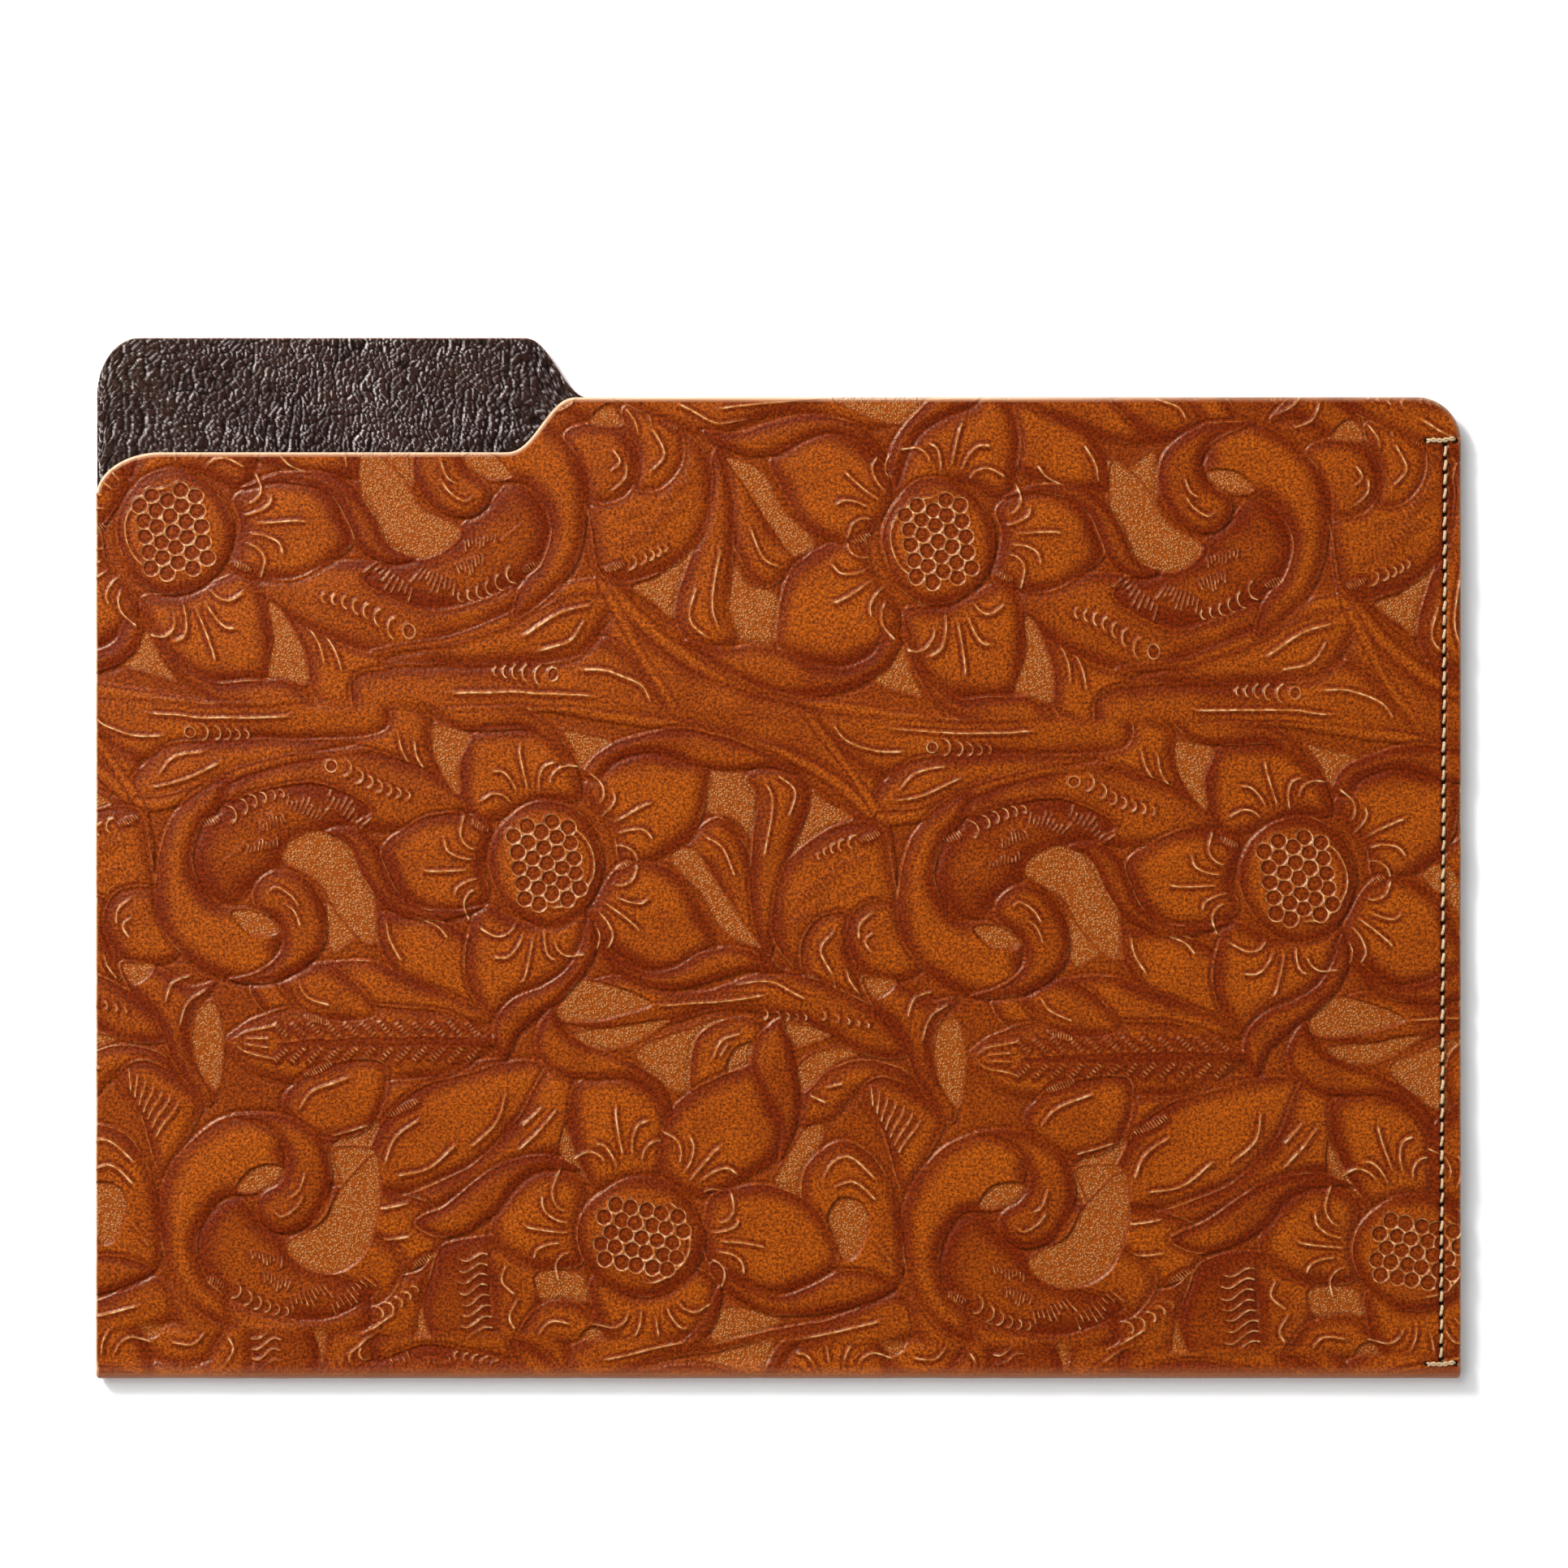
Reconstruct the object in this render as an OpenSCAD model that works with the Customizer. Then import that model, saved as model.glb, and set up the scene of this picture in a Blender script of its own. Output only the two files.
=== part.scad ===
// Leather file folder: a sleeve for letter paper, folded along the bottom and sewn up the
// right side. It lies on its back: X across the width, Y up to the tab, Z through the layers.
// The origin is the middle of the bounding box, on the face that the folder rests on.

/* [Folder] */
// Width across the folder
folder_w = 305; // [290:1:330]
// Height from the fold to the top of the tab
folder_h = 233; // [228:1:250]
// Thickness of the tooled outer leather
outer_t = 1.2; // [1:0.1:1.6]
// Thickness of the dark lining leather
lining_t = 0.6; // [0.5:0.1:0.8]
// Height of the empty pocket between the two linings
pocket_gap = 0.6; // [0.5:0.1:1]

/* [Tab] */
// Rise of the tab above the back panel's main edge
tab_rise = 13.4; // [10:0.2:18]
// Width of the tab from the left edge to the foot of its slope
tab_w = 111; // [80:1:140]
// Run of the tab's sloping right end
tab_slope = 16; // [12:1:24]
// Reach of the tab's rounded corner along its top
tab_corner_x = 9.4; // [6:0.2:14]
// Reach of the tab's rounded corner down its side
tab_corner_y = 13; // [8:0.2:13]

/* [Front panel] */
// Drop of the front edge below the back edge, in front of the tab
front_drop = 12.3; // [8:0.1:16]
// Width of the dropped edge from the left side to the foot of its slope
drop_w = 91; // [70:1:110]
// Run of the slope up to the full height
drop_slope = 17; // [12:1:24]
// Reach of the dropped corner's rounding along the top
drop_corner_x = 14.6; // [8:0.2:20]
// Reach of the dropped corner's rounding down the side
drop_corner_y = 10; // [6:0.2:14]
// Radius of the top right corner of both panels
corner_r = 9.8; // [6:0.2:14]

/* [Side seam] */
// Distance from the right edge to the line of stitches
seam_inset = 3.9; // [3:0.1:6]
// Number of stitches in the seam
stitches = 65; // [50:1:80]
// Distance from the back panel's main edge down to the first stitch
seam_top_drop = 10.5; // [8:0.1:14]
// Distance from the folded edge up to the last stitch
seam_foot = 4.5; // [4:0.1:8]
// Width of one thread
thread_w = 0.6; // [0.5:0.05:0.8]
// Depth of the groove that the stitches lie in
groove_depth = 0.45; // [0.4:0.05:0.5]
// Width of each bar tack, across the seam
tack_w = 6.8; // [6:0.1:7]
// Shift of each bar tack from the seam towards the pocket
tack_shift = 0.5; // [0.4:0.1:1]

/* [Opening] */
// Height of the bending line's low end, above the folded edge, at the left side
bend_low = 16.5; // [12:0.5:40]
// Distance of the bending line's high end from the right edge, at the top
bend_high = 24.5; // [20:0.5:60]
// Gap between the two sides of the bending line
bend_gap = 0.3; // [0.3:0.05:0.5]

/* [Hidden] */
$fn = 64;

// Places across and up the folder
right_x = folder_w / 2;
left_x = -right_x;
top_y = folder_h / 2;
foot_y = -top_y;
edge_y = top_y - tab_rise;
drop_y = edge_y - front_drop;

// Levels through the folder
total_t = 2 * (outer_t + lining_t) + pocket_gap;
mid_z = total_t / 2;
back_lining_z = outer_t;
front_lining_z = mid_z + pocket_gap / 2;
front_outer_z = front_lining_z + lining_t;

// The fold is a half turn about this line, so the flat panels start level with it
fold_y = foot_y + mid_z;

// Stitches and their holes
seam_x = right_x - seam_inset;
seam_top_y = edge_y - seam_top_drop;
seam_low_y = foot_y + seam_foot;
pitch = (seam_top_y - seam_low_y) / stitches;
thread_t = groove_depth - 0.05;
hole_w = thread_w + 0.3;
groove_w = thread_w + 0.8;
stitch_gap = 0.7;
leg_w = 0.8 * thread_w;
tack_x = seam_x - tack_shift;
tack_leg_x = (tack_w - leg_w) / 2;
tack_y = [seam_low_y - 1.5 * thread_w, seam_top_y + 1.5 * thread_w];
seam_margin = seam_inset + tack_shift + tack_w / 2 + 0.8;
slope_steps = 14;
far = 4 * folder_w;

// Points of an arc, or of a quarter ellipse, from angle a to angle b
function arc(cx, cy, rx, ry, a, b, steps = 12) =
    [for (i = [0:steps]) let (t = a + (b - a) * i / steps) [cx + rx * cos(t), cy + ry * sin(t)]];

// Points of a slope that leaves one level and meets another without a corner
function ease(u) = u * u * u * (u * (6 * u - 15) + 10);
function slope(x1, y1, x2, y2) =
    [for (i = [0:slope_steps]) let (u = i / slope_steps)
        [x1 + (x2 - x1) * u, y1 + (y2 - y1) * ease(u)]];

// The right side of both panels, from the fold line up to the top right corner
right_side = concat([[left_x, fold_y], [right_x, fold_y]],
                    arc(right_x - corner_r, edge_y - corner_r, corner_r, corner_r, 0, 90));

module back_outline() {
    polygon(concat(right_side,
        slope(left_x + tab_w, edge_y, left_x + tab_w - tab_slope, top_y),
        arc(left_x + tab_corner_x, top_y - tab_corner_y, tab_corner_x, tab_corner_y, 90, 180)));
}

module front_outline() {
    polygon(concat(right_side,
        slope(left_x + drop_w + drop_slope, edge_y, left_x + drop_w, drop_y),
        arc(left_x + drop_corner_x, drop_y - drop_corner_y, drop_corner_x, drop_corner_y, 90, 180)));
}

// One side of the bending line: 1 is the free corner, -1 is the part that stays put
bend_low_point = [left_x, foot_y + bend_low];
bend_high_point = [right_x - bend_high, edge_y];
bend_angle = atan2(bend_high_point.y - bend_low_point.y, bend_high_point.x - bend_low_point.x);

module bend_side(side) {
    translate(bend_low_point) rotate(bend_angle)
        translate([-far / 2, side > 0 ? bend_gap / 2 : -far - bend_gap / 2]) square([far, far]);
}

// The holes that the seam and the bar tacks pass through
module stitch_holes() {
    for (i = [0:stitches]) translate([seam_x, seam_low_y + i * pitch]) square(hole_w, center = true);
    for (y = tack_y, x = [-tack_leg_x, tack_leg_x])
        translate([tack_x + x, y]) square(hole_w, center = true);
}

// The channel that keeps the threads below the leather's face
module stitch_groove() {
    translate([seam_x - groove_w / 2, seam_low_y - groove_w / 2])
        square([groove_w, seam_top_y - seam_low_y + groove_w]);
    for (y = tack_y) translate([tack_x, y]) square([tack_w + 0.4, groove_w], center = true);
}

// The flat leather of one layer, with the stitch holes through it
module panel(thickness) {
    linear_extrude(thickness) difference() {
        children();
        stitch_holes();
    }
}

// A half round of leather along the foot of the folder, from one radius to another
module fold(inner_r, outer_r) {
    translate([left_x, fold_y, mid_z]) rotate([90, 0, 90]) linear_extrude(folder_w)
        difference() {
            circle(outer_r);
            circle(inner_r);
            translate([0, -far / 2]) square([far, far]);
        }
}

module outer_back_panel() {
    color("saddlebrown") difference() {
        panel(outer_t) back_outline();
        translate([0, 0, -groove_depth]) linear_extrude(2 * groove_depth) stitch_groove();
    }
}

module outer_fold() {
    color("peru") fold(lining_t + pocket_gap / 2, mid_z);
}

module outer_front_panel() {
    color("saddlebrown") difference() {
        translate([0, 0, front_outer_z]) panel(outer_t)
            intersection() { front_outline(); bend_side(-1); }
        translate([0, 0, total_t - groove_depth]) linear_extrude(2 * groove_depth) stitch_groove();
    }
}

module outer_front_corner() {
    color("sienna") translate([0, 0, front_outer_z]) linear_extrude(outer_t)
        intersection() { front_outline(); bend_side(1); }
}

module lining_back_panel() {
    color("#3b2620") translate([0, 0, back_lining_z]) panel(lining_t) back_outline();
}

module lining_fold() {
    color("#3b2620") fold(pocket_gap / 2, lining_t + pocket_gap / 2);
}

module lining_front_panel() {
    color("#3b2620") translate([0, 0, front_lining_z]) panel(lining_t)
        intersection() { front_outline(); bend_side(-1); }
}

// The margin where both linings are drawn together under the seam, which closes the pocket
module lining_seam_margin() {
    color("#33201a") translate([0, 0, front_lining_z - pocket_gap]) panel(pocket_gap)
        intersection() {
            front_outline();
            translate([right_x - seam_margin, -far / 2]) square([far, far]);
        }
}

module lining_front_corner() {
    color("#4a3028") translate([0, 0, front_lining_z]) linear_extrude(lining_t)
        intersection() { front_outline(); bend_side(1); }
}

// Side view of a sewing thread from its middle level up to the top of its stitches: a stitch
// between each two holes, a thinner run that joins them, and a leg down each hole
module thread_profile(rise) {
    for (i = [0:stitches - 1])
        translate([seam_low_y + i * pitch + stitch_gap / 2, rise - thread_t])
            square([pitch - stitch_gap, thread_t]);
    translate([seam_low_y - leg_w / 2, rise - thread_t])
        square([stitches * pitch + leg_w, thread_t / 2]);
    for (i = [0:stitches])
        translate([seam_low_y + i * pitch - leg_w / 2, 0])
            square([leg_w, rise - thread_t / 2]);
}

module thread(rise) {
    translate([seam_x, 0, mid_z]) rotate([90, 0, 90])
        linear_extrude(thread_w, center = true) thread_profile(rise);
}

thread_rise = mid_z - groove_depth + thread_t;

module needle_thread() {
    color("tan") thread(thread_rise);
}

module bobbin_thread() {
    color("tan") translate([0, 0, total_t]) mirror([0, 0, 1]) thread(thread_rise);
}

// A bar tack is a closed turn of thread through two holes, across the end of the seam
module bar_tack(y) {
    color("wheat") translate([tack_x, y, mid_z]) rotate([90, 0, 0])
        linear_extrude(thread_w, center = true) difference() {
            square([tack_w, 2 * thread_rise], center = true);
            square([tack_w - 2 * leg_w, 2 * (mid_z - groove_depth)], center = true);
        }
}

module upper_bar_tack() {
    bar_tack(tack_y[1]);
}

module lower_bar_tack() {
    bar_tack(tack_y[0]);
}

outer_back_panel();
outer_fold();
outer_front_panel();
outer_front_corner();
lining_back_panel();
lining_fold();
lining_front_panel();
lining_front_corner();
lining_seam_margin();
needle_thread();
bobbin_thread();
upper_bar_tack();
lower_bar_tack();
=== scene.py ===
import math

import bpy
import numpy as np
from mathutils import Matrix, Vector


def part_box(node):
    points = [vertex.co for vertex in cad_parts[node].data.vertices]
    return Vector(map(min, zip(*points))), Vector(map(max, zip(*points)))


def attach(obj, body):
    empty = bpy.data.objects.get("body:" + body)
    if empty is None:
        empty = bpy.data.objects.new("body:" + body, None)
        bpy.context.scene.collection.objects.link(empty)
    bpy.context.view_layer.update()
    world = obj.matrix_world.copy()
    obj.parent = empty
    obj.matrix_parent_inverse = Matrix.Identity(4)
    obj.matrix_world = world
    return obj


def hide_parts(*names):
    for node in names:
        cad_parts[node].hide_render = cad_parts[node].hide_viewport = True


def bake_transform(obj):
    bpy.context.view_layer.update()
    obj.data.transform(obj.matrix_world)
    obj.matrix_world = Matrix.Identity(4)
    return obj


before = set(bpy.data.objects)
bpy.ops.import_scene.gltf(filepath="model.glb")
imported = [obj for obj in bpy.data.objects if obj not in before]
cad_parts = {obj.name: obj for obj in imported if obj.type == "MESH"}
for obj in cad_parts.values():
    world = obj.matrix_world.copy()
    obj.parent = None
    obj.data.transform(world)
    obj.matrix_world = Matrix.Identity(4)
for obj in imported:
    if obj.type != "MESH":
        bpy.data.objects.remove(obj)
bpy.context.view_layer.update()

MM = 0.001

# ---------------------------------------------------------------- sizes taken from the frame

back_low, back_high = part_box("outer_back_panel")
front_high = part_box("outer_front_panel")[1]
fold_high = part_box("outer_fold")[1]
seam_low, seam_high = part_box("needle_thread")

FRONT_DROP = 12.3
STITCHES = 65
HALF_LEG = 0.24

LEFT, RIGHT = back_low.x / MM, back_high.x / MM
TOTAL_T = front_high.z / MM
MID_Z = TOTAL_T / 2
OUTER_T = back_high.z / MM
LINING_T = (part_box("lining_back_panel")[1].z - back_high.z) / MM
FOLD_Y = fold_high.y / MM
TAB_Y = back_high.y / MM
EDGE_Y = front_high.y / MM
DROP_Y = EDGE_Y - FRONT_DROP
SEAM_X = (seam_low.x + seam_high.x) / 2 / MM
SEAM_LOW, SEAM_TOP = seam_low.y / MM + HALF_LEG, seam_high.y / MM - HALF_LEG
PITCH = (SEAM_TOP - SEAM_LOW) / STITCHES

# ---------------------------------------------------------------- noise

def lattice_value(i, j, seed_number):
    """A repeatable random number from 0 to 1 for each whole place."""
    h = (i.astype(np.int64) * 374761393 + j.astype(np.int64) * 668265263 + seed_number * 982451653)
    h = (h ^ (h >> 13)) * 1274126177
    return ((h ^ (h >> 16)) & 0xFFFF) / 65535.0


def noise(x, y, size, seed_number=0):
    """Smooth noise from 0 to 1 with features of this size."""
    x, y = x / size, y / size
    i, j = np.floor(x), np.floor(y)
    fx, fy = x - i, y - j
    fx, fy = fx * fx * (3 - 2 * fx), fy * fy * (3 - 2 * fy)
    a, b = lattice_value(i, j, seed_number), lattice_value(i + 1, j, seed_number)
    c, d = lattice_value(i, j + 1, seed_number), lattice_value(i + 1, j + 1, seed_number)
    return (a * (1 - fx) + b * fx) * (1 - fy) + (c * (1 - fx) + d * fx) * fy


def cells(x, y, size, seed_number=0):
    """Distance to the nearest and to the second nearest of a field of scattered points."""
    x, y = x / size, y / size
    i, j = np.floor(x), np.floor(y)
    first = np.full(x.shape, 9.0)
    second = first.copy()
    for di in (-1, 0, 1):
        for dj in (-1, 0, 1):
            pi = i + di + lattice_value(i + di, j + dj, seed_number)
            pj = j + dj + lattice_value(i + di, j + dj, seed_number + 1)
            d = np.hypot(pi - x, pj - y)
            second = np.minimum(second, np.maximum(first, d))
            first = np.minimum(first, d)
    return first * size, second * size


# ---------------------------------------------------------------- the tooled pattern
# The pattern is one plate that repeats. Places on it are in mm, u to the right and v down.
# Each next row of plates is turned half round, so that u becomes TURN_W - u, and the rows lean.
# The middle of the folder lies at PLATE_U, PLATE_V on the plate.

PLATE_W, PLATE_H, LEAN = 165.8, 137.0, 0.0207
TURN_W = 172.1
PLATE_U, PLATE_V = 94.04, 34.07
STEP = 0.2
MARGIN = 1.6


def spline(points, closed=False, per=6):
    """A smooth line through points."""
    p = np.array(points, float)
    n = len(p)
    if n == 2:
        return p
    t = np.linspace(0, 1, per, endpoint=False)[:, None]
    rows = []
    for i in range(n if closed else n - 1):
        b, c = p[i], p[(i + 1) % n]
        a = p[i - 1] if closed or i else 2 * b - c
        d = p[(i + 2) % n] if closed or i + 2 < n else 2 * c - b
        rows.append(0.5 * (2 * b + (c - a) * t + (2 * a - 5 * b + 4 * c - d) * t ** 2
                           + (3 * b - a - 3 * c + d) * t ** 3))
    if not closed:
        rows.append(p[-1:])
    return np.vstack(rows)


def near(u, v, line, closed=False):
    """Distance of each place from a line, and how far along the line its nearest point is."""
    ends = np.roll(line, -1, 0) if closed else line[1:]
    starts = line if closed else line[:-1]
    lengths = np.hypot(*(ends - starts).T)
    total = lengths.sum()
    best = np.full(u.shape, 1e9, np.float32)
    along = np.zeros(u.shape, np.float32)
    gone = 0.0
    for (au, av), (bu, bv), length in zip(starts, ends, lengths):
        if length < 1e-9:
            continue
        du, dv = (bu - au) / length, (bv - av) / length
        t = np.clip((u - au) * du + (v - av) * dv, 0, length)
        d2 = (u - au - t * du) ** 2 + (v - av - t * dv) ** 2
        closer = d2 < best
        best[closer] = d2[closer]
        along[closer] = (gone + t[closer]) / total
        gone += length
    return np.sqrt(best), along


def inside(u, v, line):
    """Which places are inside a closed line."""
    odd = np.zeros(u.shape, bool)
    for (au, av), (bu, bv) in zip(line, np.roll(line, -1, 0)):
        if av != bv:
            odd ^= ((v < av) != (v < bv)) & (u < au + (v - av) * (bu - au) / (bv - av))
    return odd


def smooth(low, high, x):
    """Runs from 0 at low to 1 at high without a corner."""
    t = np.clip((x - low) / (high - low), 0, 1)
    return t * t * (3 - 2 * t)


def bell(d, width):
    """1 at no distance, and fading away beyond width."""
    return np.exp(-(d / width) ** 2)


# The plate's layers: height in mm, stain from pale to dark with painted shade beside the raised lines,
# raised lines, and stippled ground
PLATE_SHAPE = (int(round((PLATE_H + 2 * MARGIN) / STEP)), int(round(PLATE_W / STEP)))
height = np.zeros(PLATE_SHAPE, np.float32)
stain_and_shade = np.full(PLATE_SHAPE, 0.55, np.float32)
ridge = np.zeros(PLATE_SHAPE, np.float32)
stipple = np.zeros(PLATE_SHAPE, np.float32)


def patches(line, reach):
    """The parts of the plate that a line can touch: slices, their u and v, and the line there."""
    rows, columns = PLATE_SHAPE
    for k in (-2, -1, 0, 1):
        moved = line + k * PLATE_W * np.array([1, LEAN])
        low, high = moved.min(0) - reach, moved.max(0) + reach
        i0, i1 = max(0, int(low[0] / STEP)), min(columns, int(high[0] / STEP) + 2)
        j0 = max(0, int((low[1] - LEAN * PLATE_W + MARGIN) / STEP))
        j1 = min(rows, int((high[1] + MARGIN) / STEP) + 2)
        if i1 <= i0 or j1 <= j0:
            continue
        u, q = np.meshgrid((np.arange(i0, i1) + 0.5) * PLATE_W / columns,
                           (np.arange(j0, j1) + 0.5) * STEP - MARGIN)
        u, q = u.astype(np.float32), q.astype(np.float32)
        yield (slice(j0, j1), slice(i0, i1)), u, q + LEAN * u, moved


def lay(where, cover, level, tone, dots=0.0):
    """Covers a patch with a new surface."""
    height[where] += (level - height[where]) * cover
    stain_and_shade[where] += (tone - stain_and_shade[where]) * cover
    stipple[where] += (dots - stipple[where]) * cover
    ridge[where] *= 1 - cover


def raised(where, amount):
    """Adds a raised line to a patch."""
    ridge[where] = np.maximum(ridge[where], amount)


def add_stain_and_shade(where, amount):
    """Darkens a patch: partly antique finish caught beside a raised line, partly painted shade there."""
    stain_and_shade[where] = np.maximum(stain_and_shade[where], amount)


def covered(e):
    """1 inside an outline and 0 outside it, with a soft edge. e is the depth inside it."""
    return smooth(-0.15, 0.15, e)


def areas(points, reach):
    """The parts of the plate near a closed outline, with the depth of each place inside it."""
    for where, u, v, moved in patches(spline(points, True), reach):
        d, _ = near(u, v, moved, True)
        yield where, u, v, np.where(inside(u, v, moved), d, -d)


def form(points, level=0.20, band=3.0, dark=0.86, pale=0.24, rim=1.0, dome=0.12):
    """A raised closed form: dark inside its outline, pale and domed in its middle."""
    for where, u, v, e in areas(points, 2.2):
        rise = level - 0.13 * bell(np.maximum(e, 0), 1.2) + dome * smooth(0.4, 6.0, e)
        tone = pale + (dark - pale) * (1 - smooth(0.5, 0.85 * band + 0.9, e))
        tone = tone + 0.4 * (noise(u, v, 7.0, 21) - 0.5)
        fade = rim * (0.18 + 0.82 * smooth(0.35, 0.75, noise(u, v, 8.0, 22)))
        # Darker in the groove just outside the outline: partly antique finish caught there, partly
        # painted shade.
        add_stain_and_shade(where, 0.75 * bell(e + 0.7, 0.7) * (e < 0))
        height[where] -= 0.10 * bell(e + 0.5, 0.5) * (e < 0)
        lay(where, covered(e), rise, tone)
        raised(where, 0.8 * fade * bell(e, 0.25))


def ground(points):
    """A sunk patch of stippled ground."""
    for where, _, _, e in areas(points, 1.0):
        lay(where, covered(e), 0.0, 0.16 + 0.5 * bell(e, 0.9), smooth(0.1, 0.9, e))
        raised(where, 0.55 * bell(e, 0.25))


def vein(points, width=0.30, strength=1.0, taper=True):
    """A thin raised line, darkened along both sides: partly antique finish caught there, partly painted
    shade.
    """
    for where, u, v, moved in patches(spline(points), 2.0):
        d, s = near(u, v, moved)
        fade = strength * (np.clip(np.minimum(s, 1 - s) * 7 + 0.4, 0, 1) if taper else 1.0)
        swell = width * (0.75 + 0.5 * s) if taper else width
        raised(where, fade * bell(d, swell))
        # Darker on both sides of the line: partly antique finish caught there, partly painted shade.
        add_stain_and_shade(where, 0.85 * fade * bell(d - 0.75, 0.5))


def stem(points, halves, level=0.22, dark=0.75, pale=0.05):
    """A smooth ribbon whose half width runs through halves."""
    for where, u, v, moved in patches(spline(points), max(halves) + 1.2):
        d, s = near(u, v, moved)
        e = np.interp(s, np.linspace(0, 1, len(halves)), halves) - d
        tone = pale + (dark - pale) * (1 - smooth(0.1, 1.3, e))
        lay(where, covered(e), level + 0.08 * smooth(0, 1.5, e), tone)
        raised(where, 0.48 * bell(e, 0.22))


def seed(cu, cv, r):
    """A round seed with a raised rim."""
    box = np.array([[cu - r, cv - r], [cu + r, cv + r]])
    for where, u, v, moved in patches(box, 0.8):
        d = np.hypot(u - moved[:, 0].mean(), v - moved[:, 1].mean())
        cap = 0.12 + 0.16 * np.sqrt(np.clip(1 - (d / r) ** 2, 0, 1))
        lay(where, smooth(-0.1, 0.1, r - d), cap, 0.9 - 0.4 * bell(d, r * 0.55))
        raised(where, bell(d - r, 0.26))


def polar(centre, *spots):
    """Places given as (angle in degrees, distance) round a centre."""
    return [(centre[0] + r * math.cos(math.radians(a)), centre[1] + r * math.sin(math.radians(a)))
            for a, r in spots]


def crescents(start, end, bow=0.0, count=5, size=1.9, face=None):
    """A row of half moons that shrinks from start to end."""
    (u0, v0), (u1, v1) = start, end
    way = math.degrees(math.atan2(v1 - v0, u1 - u0))
    for k in range(count):
        f = (k / max(count - 1, 1)) ** 0.85
        side = bow * 4 * f * (1 - f)
        u = u0 + (u1 - u0) * f - side * math.sin(math.radians(way))
        v = v0 + (v1 - v0) * f + side * math.cos(math.radians(way))
        r = size * (1 - 0.5 * f)
        a = (way if face is None else face) - 10 * f
        back = polar((u, v), (a + 180, 0.45 * r))[0]
        vein(polar(back, (a - 78, r), (a - 35, r), (a, r), (a + 35, r), (a + 78, r)), 0.3)


def rope(start, end, half=0.75):
    """A tapered bar of short cross strokes."""
    a, b = np.array(start, float), np.array(end, float)
    length = np.hypot(*(b - a))
    along = (b - a) / length
    across = np.array([-along[1], along[0]])
    count = max(4, int(round(length / 0.62)))
    for k in range(count):
        middle = a + (b - a) * (k + 0.5) / count
        h = half * (0.45 + 0.55 * math.sin(math.pi * (k + 0.5) / count))
        vein([middle - h * across, middle + h * across + 0.25 * along], 0.20, 1.0, False)


def fan(start, end, angle, length, count, spread=0.0, strength=0.7):
    """Short comb strokes along a line."""
    for k in range(count):
        f = k / (count - 1)
        u = start[0] + (end[0] - start[0]) * f
        v = start[1] + (end[1] - start[1]) * f
        a = angle + spread * (f - 0.5)
        vein([(u, v), polar((u, v), (a, length * (0.75 + 0.25 * math.sin(5 * k))))[0]],
             0.22, strength)


def hooks(centre, radius, low, high, count=5, length=10.5, bend=24):
    """Curved veins that spread from a flower's collar into a petal."""
    for k in range(count):
        f = k / (count - 1)
        a = low + (high - low) * f
        reach = length * (0.42 + 0.58 * math.sin(math.pi * (0.1 + 0.75 * f)) ** 2
                          - 0.14 * (k % 2))
        swing = bend * (f - 0.45)
        begin = radius + 1.2 * math.sin(9 * f + low)
        vein(polar(centre, (a, begin), (a + swing * 0.15, begin + reach * 0.45),
                   (a + swing * 0.65, begin + reach * 0.82), (a + swing * 1.6, begin + reach)),
             0.33)


def flower(centre, collar, tilt, petals):
    """A flower. Each petal is (its outline, its rolled lip, the span of angles of its veins)."""
    for body, lip, span in petals:
        form(body, 0.20, 4.2, 0.9, 0.15)
        form(lip, 0.30, 1.7, 0.95, 0.42)
        hooks(centre, max(collar) + 2.6, *span)
    ring = []
    for k in range(18):
        a = 20 * k
        r = 1 / math.hypot(math.cos(math.radians(a - tilt)) / collar[0],
                           math.sin(math.radians(a - tilt)) / collar[1])
        ring.append((a, r * (1 + 0.022 * math.sin(5.1 * k))))
    form(polar(centre, *ring), 0.34, 3.0, 0.95, 0.35)
    vein(polar(centre, *((a, min(collar) * 0.86 - 0.012 * abs(a - 15)) for a in range(-60, 91, 25))),
         0.32)
    c, s = math.cos(math.radians(tilt)), math.sin(math.radians(tilt))
    pitch = 3.5
    for j in range(-4, 5):
        for i in range(-4, 5):
            x, y = (i + 0.5 * (j % 2)) * pitch, j * pitch * 0.87
            if math.hypot(x / collar[0], y / collar[1]) <= 0.72:
                wobble = 0.25 * math.sin(3 * i + 5 * j)
                seed(centre[0] + x * c - y * s + wobble, centre[1] + x * s + y * c, 1.76)


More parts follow.
